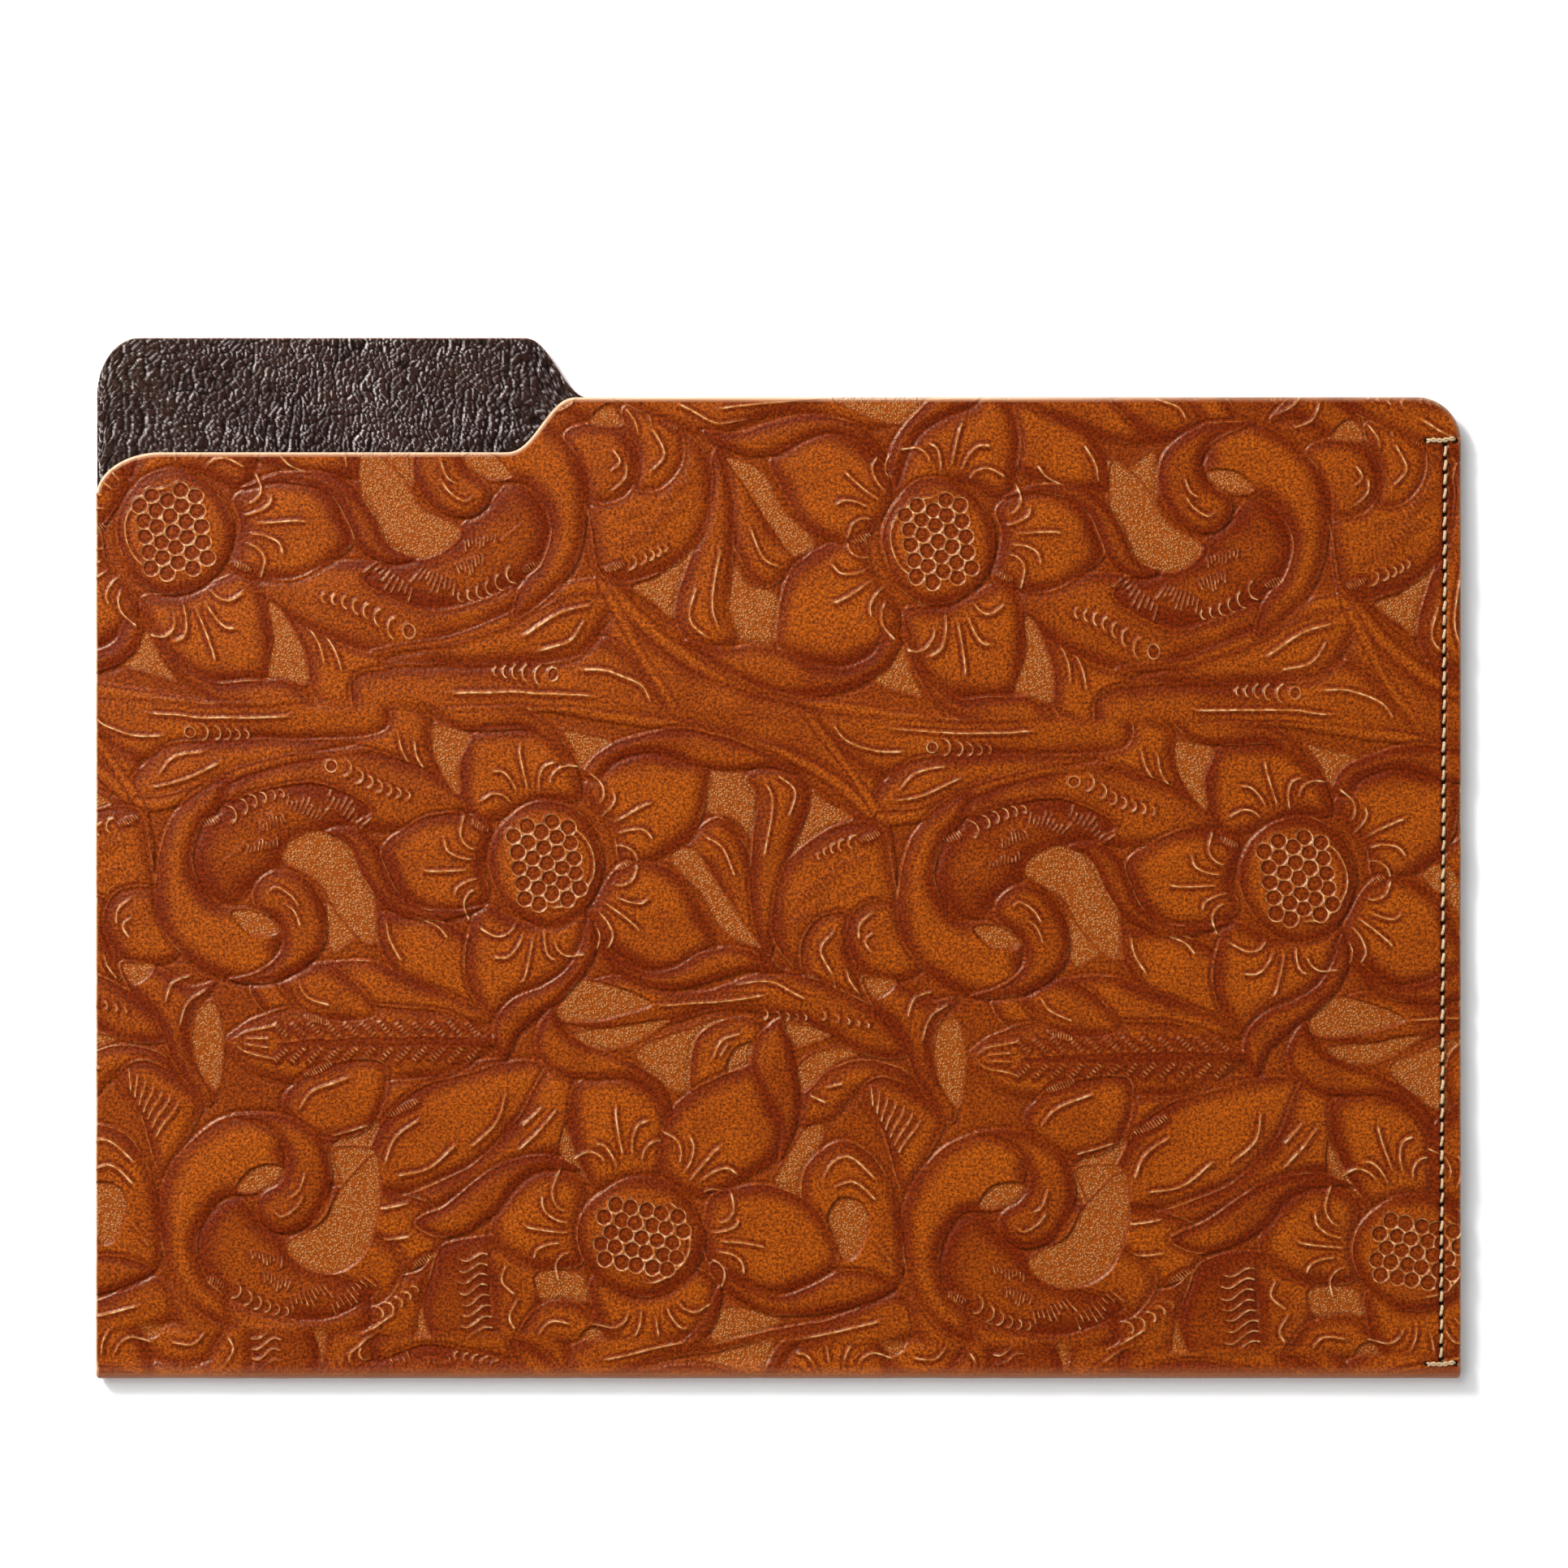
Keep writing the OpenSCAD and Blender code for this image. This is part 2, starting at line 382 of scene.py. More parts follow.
def volute(centre, flip):
    """A C scroll that curls in on itself round a stippled eye. flip is 1, or -1 to mirror it."""
    def at(*spots):
        return [(centre[0] + x, centre[1] + flip * y) for x, y in spots]

    form(at((-10, -16), (-5, -21), (5, -25), (17, -26), (28, -20), (19, -16), (10, -13), (8, -9),
            (5, -6), (1, -3), (-3, 1), (-9, -2), (-12, -9)), 0.12, 5.0, 0.95, 0.5, 0.5)
    ground(at((8, -9), (10, -13.5), (17, -16), (25, -12), (29, -1), (28, 10), (20, 3), (16, -4)))
    form(at((-4, -28), (-12, -24), (-17.5, -17), (-20, -7), (-19.5, 4), (-14, 12), (-6, 17),
            (4, 18), (10, 16), (7, 11), (8, 7), (2, 2), (-6, 1), (-10.5, -4), (-12.2, -10),
            (-10, -17), (-6, -21)), 0.24, 4.4, 0.9, 0.1)
    ground(at((-3.5, 3), (0, 7), (5, 7.8), (7.6, 6.2), (4, 2.6), (-1, 1.8)))
    form(at((2, 1), (2, -3.5), (6.5, -6.7), (12, -5.5), (16.5, 0), (18, 6), (16, 12), (10, 16.5),
            (3, 18.2), (-4, 17.7), (2, 16), (6.5, 13), (8.3, 8.5), (6.5, 4)),
         0.34, 2.6, 0.95, 0.35)
    vein(at((5, -1.8), (7, -3), (10, -1.2), (12, 1.6)), 0.28)
    vein(at((8.5, 0.8), (10.8, 2.5), (12.2, 6)), 0.28)
    rope(*at((-10.2, -16.8), (-6, -18.6)), 0.9)
    crescents(*at((-3.5, -19.5), (7.8, -24)), -0.8 * flip, 6, 2.2, -20 * flip)
    fan(*at((3, -15), (9, -17)), -100 * flip, 3.8, 8, -25 * flip, 1.0)
    fan(*at((0, -10.5), (7, -12)), -85 * flip, 2.8, 9, -20 * flip, 1.0)
    fan(*at((9, -20.5), (16, -18)), -65 * flip, 4.4, 9, 30 * flip, 1.0)
    fan(*at((18, -22), (25, -16)), -55 * flip, 4.5, 9, 30 * flip, 1.0)
    fan(*at((-6, -8), (-1, -13)), -20 * flip, 3.0, 7, 30 * flip, 0.5)


def feather(tip, length, half, slope):
    """A long leaf with a smooth midrib and slanted hatching on both sides."""
    def at(x, y):
        return tip[0] + x, tip[1] + slope * x + y

    upper = [at(x, -half * y) for x, y in
             ((2, 0.22), (7, 0.62), (14, 0.9), (25, 1), (38, 0.95), (50, 0.8))]
    lower = [at(x, half * 1.1 * y) for x, y in
             ((50, 0.8), (38, 0.95), (25, 1), (14, 0.95), (7, 0.72), (2, 0.25))]
    form([tip] + upper + [at(length, -0.6), at(length, 0.6)] + lower, 0.2, 3.0, 0.8, 0.3)
    stem([at(13, 0.3), at(30, 0.2), at(length, 0)], [0.4, 1.15, 1.2, 0.9], 0.3, 0.95, 0.85)
    for side in (-1, 1):
        vein([at(3, side * 0.5), at(6, side * 2.3), at(13, side * 4.0)], 0.26)
        vein([at(5.5, side * 0.6), at(11, side * 1.1)], 0.24)
        for k in range(12):
            for j in range(5):
                start = at(15 + 3.9 * k - 0.62 * j, side * (1.9 + 0.62 * j))
                vein([start, (start[0] - 0.75, start[1] - side * 0.6)], 0.22, 1.0, False)


def wavy(start, end, bow, width=0.27):
    """A vein with an S bend."""
    (u0, v0), (u1, v1) = start, end
    vein([start, (u0 + (u1 - u0) * 0.3, v0 + (v1 - v0) * 0.3 + bow),
          (u0 + (u1 - u0) * 0.7, v0 + (v1 - v0) * 0.7 - bow), end], width)


def leaf(body, *veins, ropes=(), **finish):
    """A leaf: its outline, its veins and its rope marks."""
    form(body, **finish)
    for one in veins:
        vein(one, 0.33)
    for start, end in ropes:
        rope(start, end)


def draw_upper_leaves():
    """What fills the plate from its top to the first flower and scroll."""
    leaf([(28, -4), (60, -6), (96, -5), (108, 2), (116, 12), (117, 24), (104, 14), (88, 8), (64, 3),
          (44, 0)], [(50, -2), (66, -1), (80, 1.5)], pale=0.4)
    crescents((80, -1.6), (94, -1), -0.4, 7, 1.9, 0)
    leaf([(-14, -4), (0, -4), (15, 1), (16.5, 9), (20, 16), (25.5, 25), (18, 24), (9, 21), (-2, 17),
          (-12, 13)], [(9, 6), (10.5, 11), (15, 17)], [(12.7, 7), (13.6, 12), (18, 18)])
    seed(-1.5, 13.8, 1.3)
    crescents((2.5, 15), (15.7, 20.7), 0.3, 7, 2.0)
    leaf([(99, -3), (120, -5), (150, -4), (170, 0), (172, 9), (156, 11), (138, 11), (124, 14),
          (118, 15.5), (111, 12.5), (104, 6)], [(106, 3.5), (109, 7.5), (116, 9.8), (123, 10)],
         [(112, 1), (126, 2.5), (142, 3), (158, 2)], [(118, 5), (134, 6), (152, 5.8)], pale=0.3)
    leaf([(114, 24), (118, 16.5), (124, 12), (134, 11), (152, 11), (166, 12), (150, 16), (136, 20),
          (124, 25)], [(121, 19), (125, 14.8), (132, 13.5)],
         [(119.5, 21.5), (127, 19.8), (135.5, 15.7)])
    seed(128.4, 9.2, 1.2)
    crescents((131.3, 9.2), (141, 9.6), 0.2, 5, 2.1, 0)
    leaf([(126, 26), (138, 19.5), (152, 15.5), (166, 13), (182, 18), (192, 25), (184, 30),
          (168, 31), (150, 27), (137, 26)], pale=0.35)
    seed(160, 16.8, 1.3)
    crescents((163.3, 17.3), (177, 23.5), 0.8, 7, 2.1, 8)
    leaf([(98, 28), (101, 19), (109, 23), (118, 27), (120, 40), (112, 45), (104, 42)], pale=0.4)
    ground([(101.5, 19), (106, 21.5), (111, 25), (105, 27.5), (97.5, 34), (97, 31), (100, 25)])
    stem([(-24, -5), (10, -5), (32, -2.5), (52, 1.5), (72, 4.5), (92, 9.5), (106, 16.5), (117, 26)],
         [1.0, 1.4, 1.6, 1.5, 1.3, 1.4, 1.6])
    stem([(98, -4), (102, 4), (109, 13), (117, 25)], [0.6, 1.3, 1.2, 1.6])
    stem([(117, 25.5), (126, 24), (139, 18.5), (152, 15), (168, 13.5)], [1.7, 1.2, 0.9, 0.4])
    stem([(117, 25), (119.5, 34), (120, 42), (121.5, 50), (123.5, 54.5)], [1.6, 0.8, 0.5, 1.2, 1.4])


def draw_middle_leaves():
    """What lies between the first flower and its scroll."""
    leaf([(72, 33), (80, 25), (86, 30), (89.5, 39), (92, 55), (98, 62), (88, 54), (82, 44), (78, 36)],
         [(77, 28.8), (81.5, 31.5), (84.5, 38.5)])
    ground([(69.5, 34.5), (75, 31.5), (79.5, 37.5), (86, 47.5), (90, 54), (82, 51), (76.5, 42)])
    ground([(78.5, 15), (83, 14.6), (88, 15.7), (89.3, 21), (88, 30), (84.5, 25.5), (78, 23.5)])
    leaf([(87, 16), (91.5, 13.5), (98, 14.5), (101, 20), (99.5, 26), (96.5, 35), (94, 47), (92, 56),
          (89, 50), (87.8, 40), (88.5, 28), (89.8, 21)], [(91, 16.5), (92.8, 22), (90.8, 34)],
         [(93.5, 15.2), (97.8, 19), (96.3, 25)])
    leaf([(117, 27), (107, 27), (98, 32.5), (94, 40), (93, 52), (100, 60), (112, 62), (121, 58),
          (121, 46), (119.5, 36)], ropes=[((112.3, 30.2), (116.7, 28.3))], pale=0.35, band=4)
    crescents((110.8, 30.2), (103.3, 33.4), 0.3, 5, 1.8, 195)
    fan((98.5, 42), (106, 36.5), 50, 3.8, 9, 20, 0.75)
    fan((97, 48), (103, 43), 60, 3.4, 8, 20, 0.75)
    fan((106, 35), (113, 33), 75, 3.2, 8, 10, 0.6)
    fan((107, 41), (113, 39), 80, 3.0, 8, 10, 0.5)
    leaf([(104.5, 46.5), (100, 51), (99, 57), (101, 62), (108, 66), (113, 64), (110, 55), (110, 47)],
         [(107, 50), (103.5, 54.5), (106.3, 60.5)], ropes=[((100.4, 60), (103.8, 62.6))])
    crescents((105.6, 63), (111, 68), 0, 4, 1.7)
    leaf([(113, 44.5), (109.5, 49), (110, 55), (114, 60), (122, 61), (126, 58), (122.5, 50),
          (119.8, 44)], [(115.5, 46), (112.3, 48.8), (112, 52.5)],
         [(115.5, 50.5), (113.4, 52.6), (115, 55.5)])
    vein([(109.3, 58.7), (110, 61.5), (112.3, 64.7)], 0.28)
    leaf([(46, 70), (52, 62), (60, 60.5), (76, 64), (92, 59), (104, 62), (116, 68), (124, 77),
          (114, 78), (98, 70), (80, 68), (62, 73)], [(84, 62.3), (92, 61.5), (101, 66)],
         [(66, 67), (80, 66), (92, 64.5)], pale=0.3)
    ground([(44, 69), (49, 61.5), (56, 62), (66, 66.5), (58, 69.5), (49, 71)])
    ground([(48, 73), (58, 71.5), (70, 70), (62, 75.5), (54, 77)])
    ground([(62, 77.5), (72, 72.5), (82, 69.5), (76, 75), (75, 85), (69, 85)])
    crescents((91, 68.8), (100, 69.6), 0, 5, 1.3, 0)
    crescents((104, 69), (114, 71.5), 0, 5, 1.1, 0)
    leaf([(134, 65.5), (128, 66), (122, 62.5), (113, 60.5), (115, 67), (121, 73.5), (125, 83),
          (132, 92), (134, 88), (129.5, 82), (128.5, 73)], [(129, 63.7), (124.5, 65.5), (122.8, 69.8)],
         [(132.5, 66.5), (128, 69.5), (126, 75.5)])
    ground([(113, 60.8), (115.2, 65.5), (118.5, 64.5), (120.5, 61)])
    ground([(130, 71), (134, 69.5), (136, 76), (136, 82), (134.5, 89), (130.3, 85), (128.6, 78)])
    leaf([(88, 69.5), (80, 71), (75.3, 75.5), (74.8, 86), (83, 84), (90, 80.5), (92, 73)],
         [(86.3, 72.8), (81.5, 74.8), (79.2, 79.2)], [(83, 75.2), (81, 78.3)])
    ground([(88.5, 75), (84, 76.5), (82.3, 81.5), (87, 80.3)])
    ground([(95.5, 71), (101, 71.3), (106, 73.5), (101, 76), (97.5, 76)])


def draw_side_leaves():
    """What fills the plate's left and right sides, where it meets its neighbours."""
    leaf([(-8, 45), (2, 45), (4.5, 53), (9.5, 60.5), (18, 65), (31, 70), (31, 62), (24, 51), (12, 47)],
         [(6.5, 47.8), (7.2, 52), (10, 57)], [(14.5, 47.8), (18, 49.5), (20.3, 52.2)],
         ropes=[((8.3, 60.2), (13.7, 62.3))])
    ground([(-7, 44), (-1, 44), (3, 47), (5, 53.5), (0, 52), (-6, 55)])
    leaf([(-24, 62), (-14, 58), (2, 57), (10, 60), (22, 65), (31, 70), (20, 71), (0, 71), (-18, 70)],
         [(-13, 60), (-10, 64), (-5, 66)], ropes=[((-12, 69.5), (-6.2, 71.2))], pale=0.2)
    leaf([(-17, 88), (-12, 82.5), (-4, 79.5), (12, 80), (30, 79), (40, 79.5), (36, 86), (14, 92),
          (-4, 97), (-10, 94)], [(-13, 89.5), (-9, 85.5), (-1.5, 82.2)],
         ropes=[((-12, 82.3), (-5.8, 79.8))], pale=0.25)
    ground([(-6, 97), (3, 91), (5, 93.5), (2, 103.5), (-4, 106)])
    leaf([(37, 79), (26, 81.5), (13, 85.5), (5, 93), (1.5, 102), (3, 106.5), (16, 104.5), (28, 99),
          (38, 90), (43, 81)], [(33.2, 86), (31, 92), (25, 97)], [(14.3, 91), (8.5, 95), (6, 100.5)],
         [(8.3, 102.8), (16, 100.9), (22.5, 96)], ropes=[((6.5, 90.7), (13.5, 87.5))], pale=0.2)
    leaf([(43, 80), (36, 91), (27, 99.5), (14, 105.5), (2, 108), (16, 110), (34, 101), (48, 98.5),
          (52, 104), (48, 94), (49, 84)], [(41.5, 88.5), (36.7, 92.7)], [(45, 89), (41, 93), (35.5, 98)])
    ground([(46.5, 92), (45, 98), (50, 103), (53, 104.5), (49.5, 99)])
    leaf([(-12, 108), (-4, 105), (8, 106), (17, 109), (20.5, 116), (13, 122.5), (2, 124.5),
          (-9, 121)], [(-4, 108.8), (4, 109.6), (12, 108)], [(-8, 113), (-1, 117.5), (10.5, 119)],
         [(3.3, 115.5), (7, 116.3), (12, 115.7)], ropes=[((12.5, 122), (17.5, 119.4))])
    leaf([(149, 65), (151.5, 69.5), (158, 74), (166, 75)], pale=0.3)


def draw_lower_leaves():
    """What fills the plate from the second flower down to its bottom edge."""
    leaf([(99.5, 93), (99.5, 86), (105, 81.5), (113, 79), (122, 81), (126, 87), (119, 88), (112, 86),
          (106, 91)], [(101, 86.3), (104.8, 87.8)], [(104.5, 84.8), (108.5, 84)])
    ground([(98, 81), (102, 77.5), (108, 76.3), (112, 78), (106, 80.5), (99.5, 86)])
    leaf([(112.5, 86.5), (117, 82.5), (124, 85), (131, 91), (128, 98), (122, 106), (117.5, 94)])
    for k in range(7):
        wavy((114.8 + 1.9 * k, 84.4 + 1.1 * k), (115.2 + 0.9 * k, 88.8 + 1.6 * k), 0.3)
    ground([(94.5, 101), (99.5, 93.5), (104, 92), (104, 96), (100.5, 101), (99.5, 107), (93, 104)])
    leaf([(33, 116), (20, 117), (16.3, 124), (14.8, 133), (17.5, 142), (25, 144), (33, 142), (29.5, 132),
          (30, 124)], dark=1.1, pale=0.75)
    for k in range(9):
        wavy((22.5 - 0.5 * math.sin(k), 120.6 + 2.5 * k), (30.2 - 0.7 * math.sin(0.7 * k),
             119.8 + 2.3 * k), 0.8, 0.3)
    leaf([(30, 118), (30, 127), (31, 139), (37, 140), (41, 130), (41, 122)],
         [(33.3, 121.5), (32.3, 125.5), (35.5, 128.7)], [(36, 129.3), (34, 133.3), (35.3, 136.3)])
    ground([(39.5, 124), (45, 122.8), (50.5, 124), (52, 130), (46, 129.6), (41, 130)])
    leaf([(35.5, 143), (36.3, 136.5), (41, 131), (47.5, 130), (53, 133), (57, 139), (54, 144)],
         [(40, 138), (43, 134.6), (48, 135)])
    ground([(49, 144), (50, 137), (54, 136), (56.5, 142)])
    leaf([(-10, 128), (2, 125), (13, 123.5), (17, 120), (15, 128), (13, 138), (4, 143), (-12, 142)],
         [(-6, 139), (2, 137), (9, 132)], pale=0.35)
    crescents((1.7, 133.7), (13, 127.3), 0.5, 6, 2.0, -30)
    ground([(13, 136), (14.3, 130), (15.2, 134), (17.5, 142), (13, 143)])
    leaf([(-4, 111), (-6, 116), (-8, 124), (-4, 131), (6, 130), (10, 120)], pale=0.35)
    ground([(79, 133.5), (84, 131), (95, 134.3), (90, 137), (80, 140)])
    leaf([(78, 141), (90, 137), (106, 134), (120, 128), (126, 136), (112, 142), (92, 145)],
         [(92, 139.8), (106, 137), (118, 134)], pale=0.25)
    leaf([(124, 128), (132, 131), (142, 135), (152, 135), (166, 132), (168, 140), (148, 144),
          (128, 142)], pale=0.4)
    fan((136, 139), (160, 138), 80, 3.2, 24, 20, 0.45)
    ground([(160, 101.5), (164, 100), (170, 101), (169, 107), (165, 110.5), (162.5, 108)])


def draw_arch():
    """The hooded scroll beside the lower flower."""
    leaf([(99.5, 108), (100.5, 100.5), (107.5, 95.8), (114.5, 98), (119.3, 105), (121.8, 114),
          (121, 126), (113, 128), (105, 122)], [(103.8, 103.8), (106, 99.8), (110.5, 98.8),
                                              (116.5, 104)],
         [(106.3, 105), (111, 103.8), (116.2, 108)], level=0.24)
    ground([(105, 110.5), (108, 107), (113, 108.3), (114.5, 113), (111.8, 119.5), (108.2, 120.5),
            (106, 115)])
    fan((115.5, 116), (119, 120), 60, 2.8, 7, 20)


def draw_flowers():
    """The upper flower and the lower one, with the marks and the ground beside them."""
    flower((42.3, 35.0), (13.8, 12.6), 80, [
        ([(25, 7), (23, 13), (23.5, 20), (27, 26), (33, 24.5), (41, 21.5), (49, 21), (50, 18),
          (47, 11), (42, 6.5), (36, 4.5), (29, 5)],
         [(16, -1), (24, -1.5), (32, -1.2), (38, 0.5), (44, 5.5), (48.5, 12), (50.3, 19.5),
          (46.5, 12), (42, 7.2), (37, 4.8), (30, 5.2), (23, 5), (18.5, 2.5)], (-121, -88)),
        ([(51, 20), (52, 15.5), (57, 12.5), (64, 10.3), (72, 11.8), (78, 14), (78, 20), (76, 27),
          (72, 31.5), (66, 34.5), (59, 35.5), (57, 28)],
         [(50.5, 14.5), (55, 9.5), (62, 6.8), (70, 5.3), (80, 6.2), (90, 9.8), (99, 15), (92, 13.5),
          (84, 14.4), (76, 13.2), (69, 10.8), (63, 10.5), (57, 12.7), (53.5, 16.5)], (-48, -14)),
        ([(56.5, 38), (60, 35), (67, 35.3), (72.5, 39), (76, 45), (80, 53), (75, 57), (69, 59.3),
          (63, 58.8), (57, 54.5), (52, 47.5), (53.5, 43)],
         [(53, 52), (57, 58.5), (63, 62), (72, 63.3), (80, 61.3), (87, 59), (95, 59.5), (89, 55.5),
          (83, 53.8), (77, 55.2), (71, 58.5), (64, 59.2), (58, 56)], (18, 52)),
        ([(28, 44.5), (25, 50.5), (24, 58), (26, 65), (31, 69.5), (35, 65.2), (41, 62.8), (46, 60),
          (50, 54), (52, 48), (50, 45), (38, 48.5)],
         [(52, 47.5), (53.3, 54), (50.5, 60), (45.5, 65.5), (40, 69.8), (36, 73.5), (33, 79),
          (30.7, 75), (31, 70), (35, 65.3), (41.5, 62.6), (46.5, 59.3), (49.8, 54)], (84, 116)),
        ([(5.5, 31.5), (11, 27), (17, 24.2), (23, 24), (30, 27), (28, 36), (29.5, 42), (25, 45.8),
          (17, 46.2), (10, 42.5), (6.8, 37)],
         [(-7, 28), (-2, 31), (1.5, 38.5), (6, 44.5), (12, 47.4), (20, 47.8), (28, 44.8),
          (21, 45.8), (14, 44.9), (9, 41.5), (6.3, 36), (3.5, 30), (-2, 27)], (160, 190))])
    rope((25.5, 26), (29.3, 27.8))
    rope((57.3, 36.5), (61.2, 34.8))
    ground([(17, 4), (16.3, 8), (17.5, 13), (21, 19), (23.2, 19), (23, 13), (25.5, 6.5), (22, 4.8)])
    ground([(45.5, 5), (51, 6), (57, 8), (53, 11), (50, 14.5), (48, 9.5)])
    flower((63.5, 115.8), (14.2, 12.8), 10, [
        ([(49, 84), (47.6, 91), (49, 99), (53.5, 105), (60, 103.8), (67, 103), (70, 97), (69, 88),
          (64, 83.3), (57, 82.2)],
         [(43.5, 67.5), (46.5, 72.8), (52, 76), (60, 79), (66.5, 82.5), (70, 87.5), (69.5, 92),
          (66, 86.5), (60, 82.8), (52, 83), (45, 82), (40.5, 77.5), (40, 73)], (-117, -90)),
        ([(69, 103.5), (67.7, 97), (70, 89.5), (76, 84.8), (84, 81.2), (90, 80.5), (93, 88),
          (95.3, 94), (93, 99.5), (86, 103.5), (78, 107)],
         [(94.3, 69.5), (89.5, 74), (88, 80), (91, 87), (94.8, 93), (94.5, 99.5), (98, 93),
          (98.8, 85), (97.5, 78), (95.5, 72)], (-62, -36)),
        ([(78, 108.5), (83, 105.3), (91, 104.3), (98, 106.5), (104, 111.5), (107.5, 119.5),
          (103, 125), (94, 128.3), (86, 126), (78, 120.5)],
         [(79, 124), (84, 129), (91, 132.6), (101, 133), (111, 131), (120, 127), (115, 124),
          (108, 123.2), (101, 126.5), (94, 128.8), (87, 126.3), (80, 121)], (-10, 16)),
        ([(53, 124), (52.5, 131), (56, 138.8), (64, 140.5), (72, 139), (78, 135), (80.5, 127.5),
          (75, 122.5), (64, 128)],
         [(81, 126.5), (81, 132), (78, 137.5), (72, 142.5), (66, 143), (73, 138.8), (78, 133)],
         (60, 100)),
        ([(50, 121.5), (42, 122.5), (35, 120.5), (30.3, 115.5), (31, 110), (36, 104), (43, 101),
          (50.5, 104.5), (49.5, 113)],
         [(13, 112.5), (20, 108.5), (27, 103.3), (34, 99.8), (43, 98.6), (50, 101.5), (42, 101.3),
          (35.5, 104.2), (31.3, 109.8), (25, 114.2), (18, 115.6)], (169, 199))])


def draw_pattern():
    """The whole plate, from its lowest pieces to the flowers on top."""
    draw_upper_leaves()
    draw_side_leaves()
    feather((135.3, 78.6), 62, 8.2, -0.005)
    leaf([(149, 64.5), (151.5, 69.5), (158, 73.5), (170, 73), (166, 66), (158, 61)],
         [(152.5, 65), (154.7, 68.3), (160, 70.5)], ropes=[((153.8, 72.8), (159.7, 74.2))])
    leaf([(149, 92), (153, 86.5), (160, 83.5), (172, 83), (170, 95), (160, 99), (153, 96)],
         [(152.5, 93), (156, 89), (164.5, 85.9)], [(160, 98.3), (168.5, 95.8)],
         ropes=[((153.8, 85.8), (160, 83.4))])
    draw_middle_leaves()
    draw_lower_leaves()
    volute((141, 47), 1)
    volute((142, 111.5), -1)
    draw_arch()
    draw_flowers()


draw_pattern()


def read_plate(plate, u, q, turned):
    """Reads a plate between its grid places, for one row of plates. q is the distance down it."""
    pu = np.mod(np.where(turned, TURN_W - u, u), PLATE_W)
    pq = np.where(turned, PLATE_H - q, q)
    rows, columns = plate.shape
    x = pu / PLATE_W * columns - 0.5
    y = np.clip((pq + MARGIN) / STEP - 0.5, 0, rows - 1.001)
    i, j = np.floor(x).astype(int), np.floor(y).astype(int)
    fx, fy = x - i, y - j
    i0, i1 = i % columns, (i + 1) % columns
    return ((plate[j, i0] * (1 - fx) + plate[j, i1] * fx) * (1 - fy)
            + (plate[j + 1, i0] * (1 - fx) + plate[j + 1, i1] * fx) * fy)


def sample(plate, u, v):
    """Reads the pattern anywhere on the sheet. Neighbouring rows of plates melt into each other."""
    q = v - LEAN * u + 0.5 * (noise(u, v, 5.0, 31) - 0.5)
    row = np.floor(q / PLATE_H)
    q = q - row * PLATE_H
    turned = np.mod(row, 2) == 1
    value = read_plate(plate, u, q, turned)
    for share, other in ((0.5 * (1 - smooth(0, 1.3, q)), q + PLATE_H),
                         (0.5 * (1 - smooth(0, 1.3, PLATE_H - q)), q - PLATE_H)):
        close = share > 0
        if close.any():
            there = read_plate(plate, u[close], other[close], ~turned[close])
            value[close] += (there - value[close]) * share[close]
    return value


# ---------------------------------------------------------------- outlines of the two panels

TAB_CORNER = (9.4, 13.0)
DROP_CORNER = (14.6, 10.0)
ROUND = 9.8
TAB_FOOT, TAB_SLOPE = LEFT + 111, 16
DROP_FOOT, DROP_SLOPE = LEFT + 91, 17
BELOW_FOLD = 20


def ease(t):
    """The tab's slope, from 0 to 1 without a corner."""
    t = np.clip(t, 0, 1)
    return t ** 3 * (t * (6 * t - 15) + 10)


def rounding(x, side, reach_x, reach_y):
    """How far a panel's outline falls below its top edge at a rounded corner."""
    t = np.clip(1 - np.abs(x - side) / reach_x, 0, 1)
    return reach_y * (1 - np.sqrt(np.maximum(1 - t ** 2, 0)))


def back_top(x):
    """Height of the back panel's upper edge."""
    rise = ease((TAB_FOOT - x) / TAB_SLOPE)
    return (EDGE_Y + (TAB_Y - EDGE_Y) * rise - rounding(x, LEFT, *TAB_CORNER)
            - rounding(x, RIGHT, ROUND, ROUND))


def front_top(x):
    """Height of the front panel's upper edge."""
    rise = ease((x - DROP_FOOT) / DROP_SLOPE)
    return (DROP_Y + (EDGE_Y - DROP_Y) * rise - rounding(x, LEFT, *DROP_CORNER)
            - rounding(x, RIGHT, ROUND, ROUND))


def spaced(low, high, step, zones=()):
    """Places from low to high, step apart, and closer near the centre of each zone."""
    x = np.linspace(low, high, 20001)
    gap = np.full(x.shape, float(step))
    for centre, reach, fine in zones:
        gap = np.minimum(gap, fine + (step - fine) * smooth(0, 1, np.abs(x - centre) / reach))
    count = np.concatenate([[0], np.cumsum(1 / gap[:-1] * np.diff(x))])
    n = int(math.ceil(count[-1]))
    return np.interp(np.linspace(0, count[-1], n + 1), count, x)


def outline(top):
    """A panel's outline from the left end of the fold, over the top, to the right end."""
    x = spaced(LEFT, RIGHT, 1.0, [(LEFT, 12, 0.02), (RIGHT, 12, 0.02)])
    foot = FOLD_Y - BELOW_FOLD
    return np.vstack([[LEFT, foot], np.column_stack([x, top(x)]), [RIGHT, foot]])


def edge_distance(x, y, top, reach=2.5):
    """Distance of each place from a panel's cut edge, up to reach."""
    distance = np.full(x.shape, float(reach))
    close = (x < LEFT + reach) | (x > RIGHT - reach) | (top(x) - y < 4 * reach)
    d, _ = near(x[close], y[close], outline(top))
    distance[close] = np.minimum(d, reach)
    return distance


# ---------------------------------------------------------------- meshes

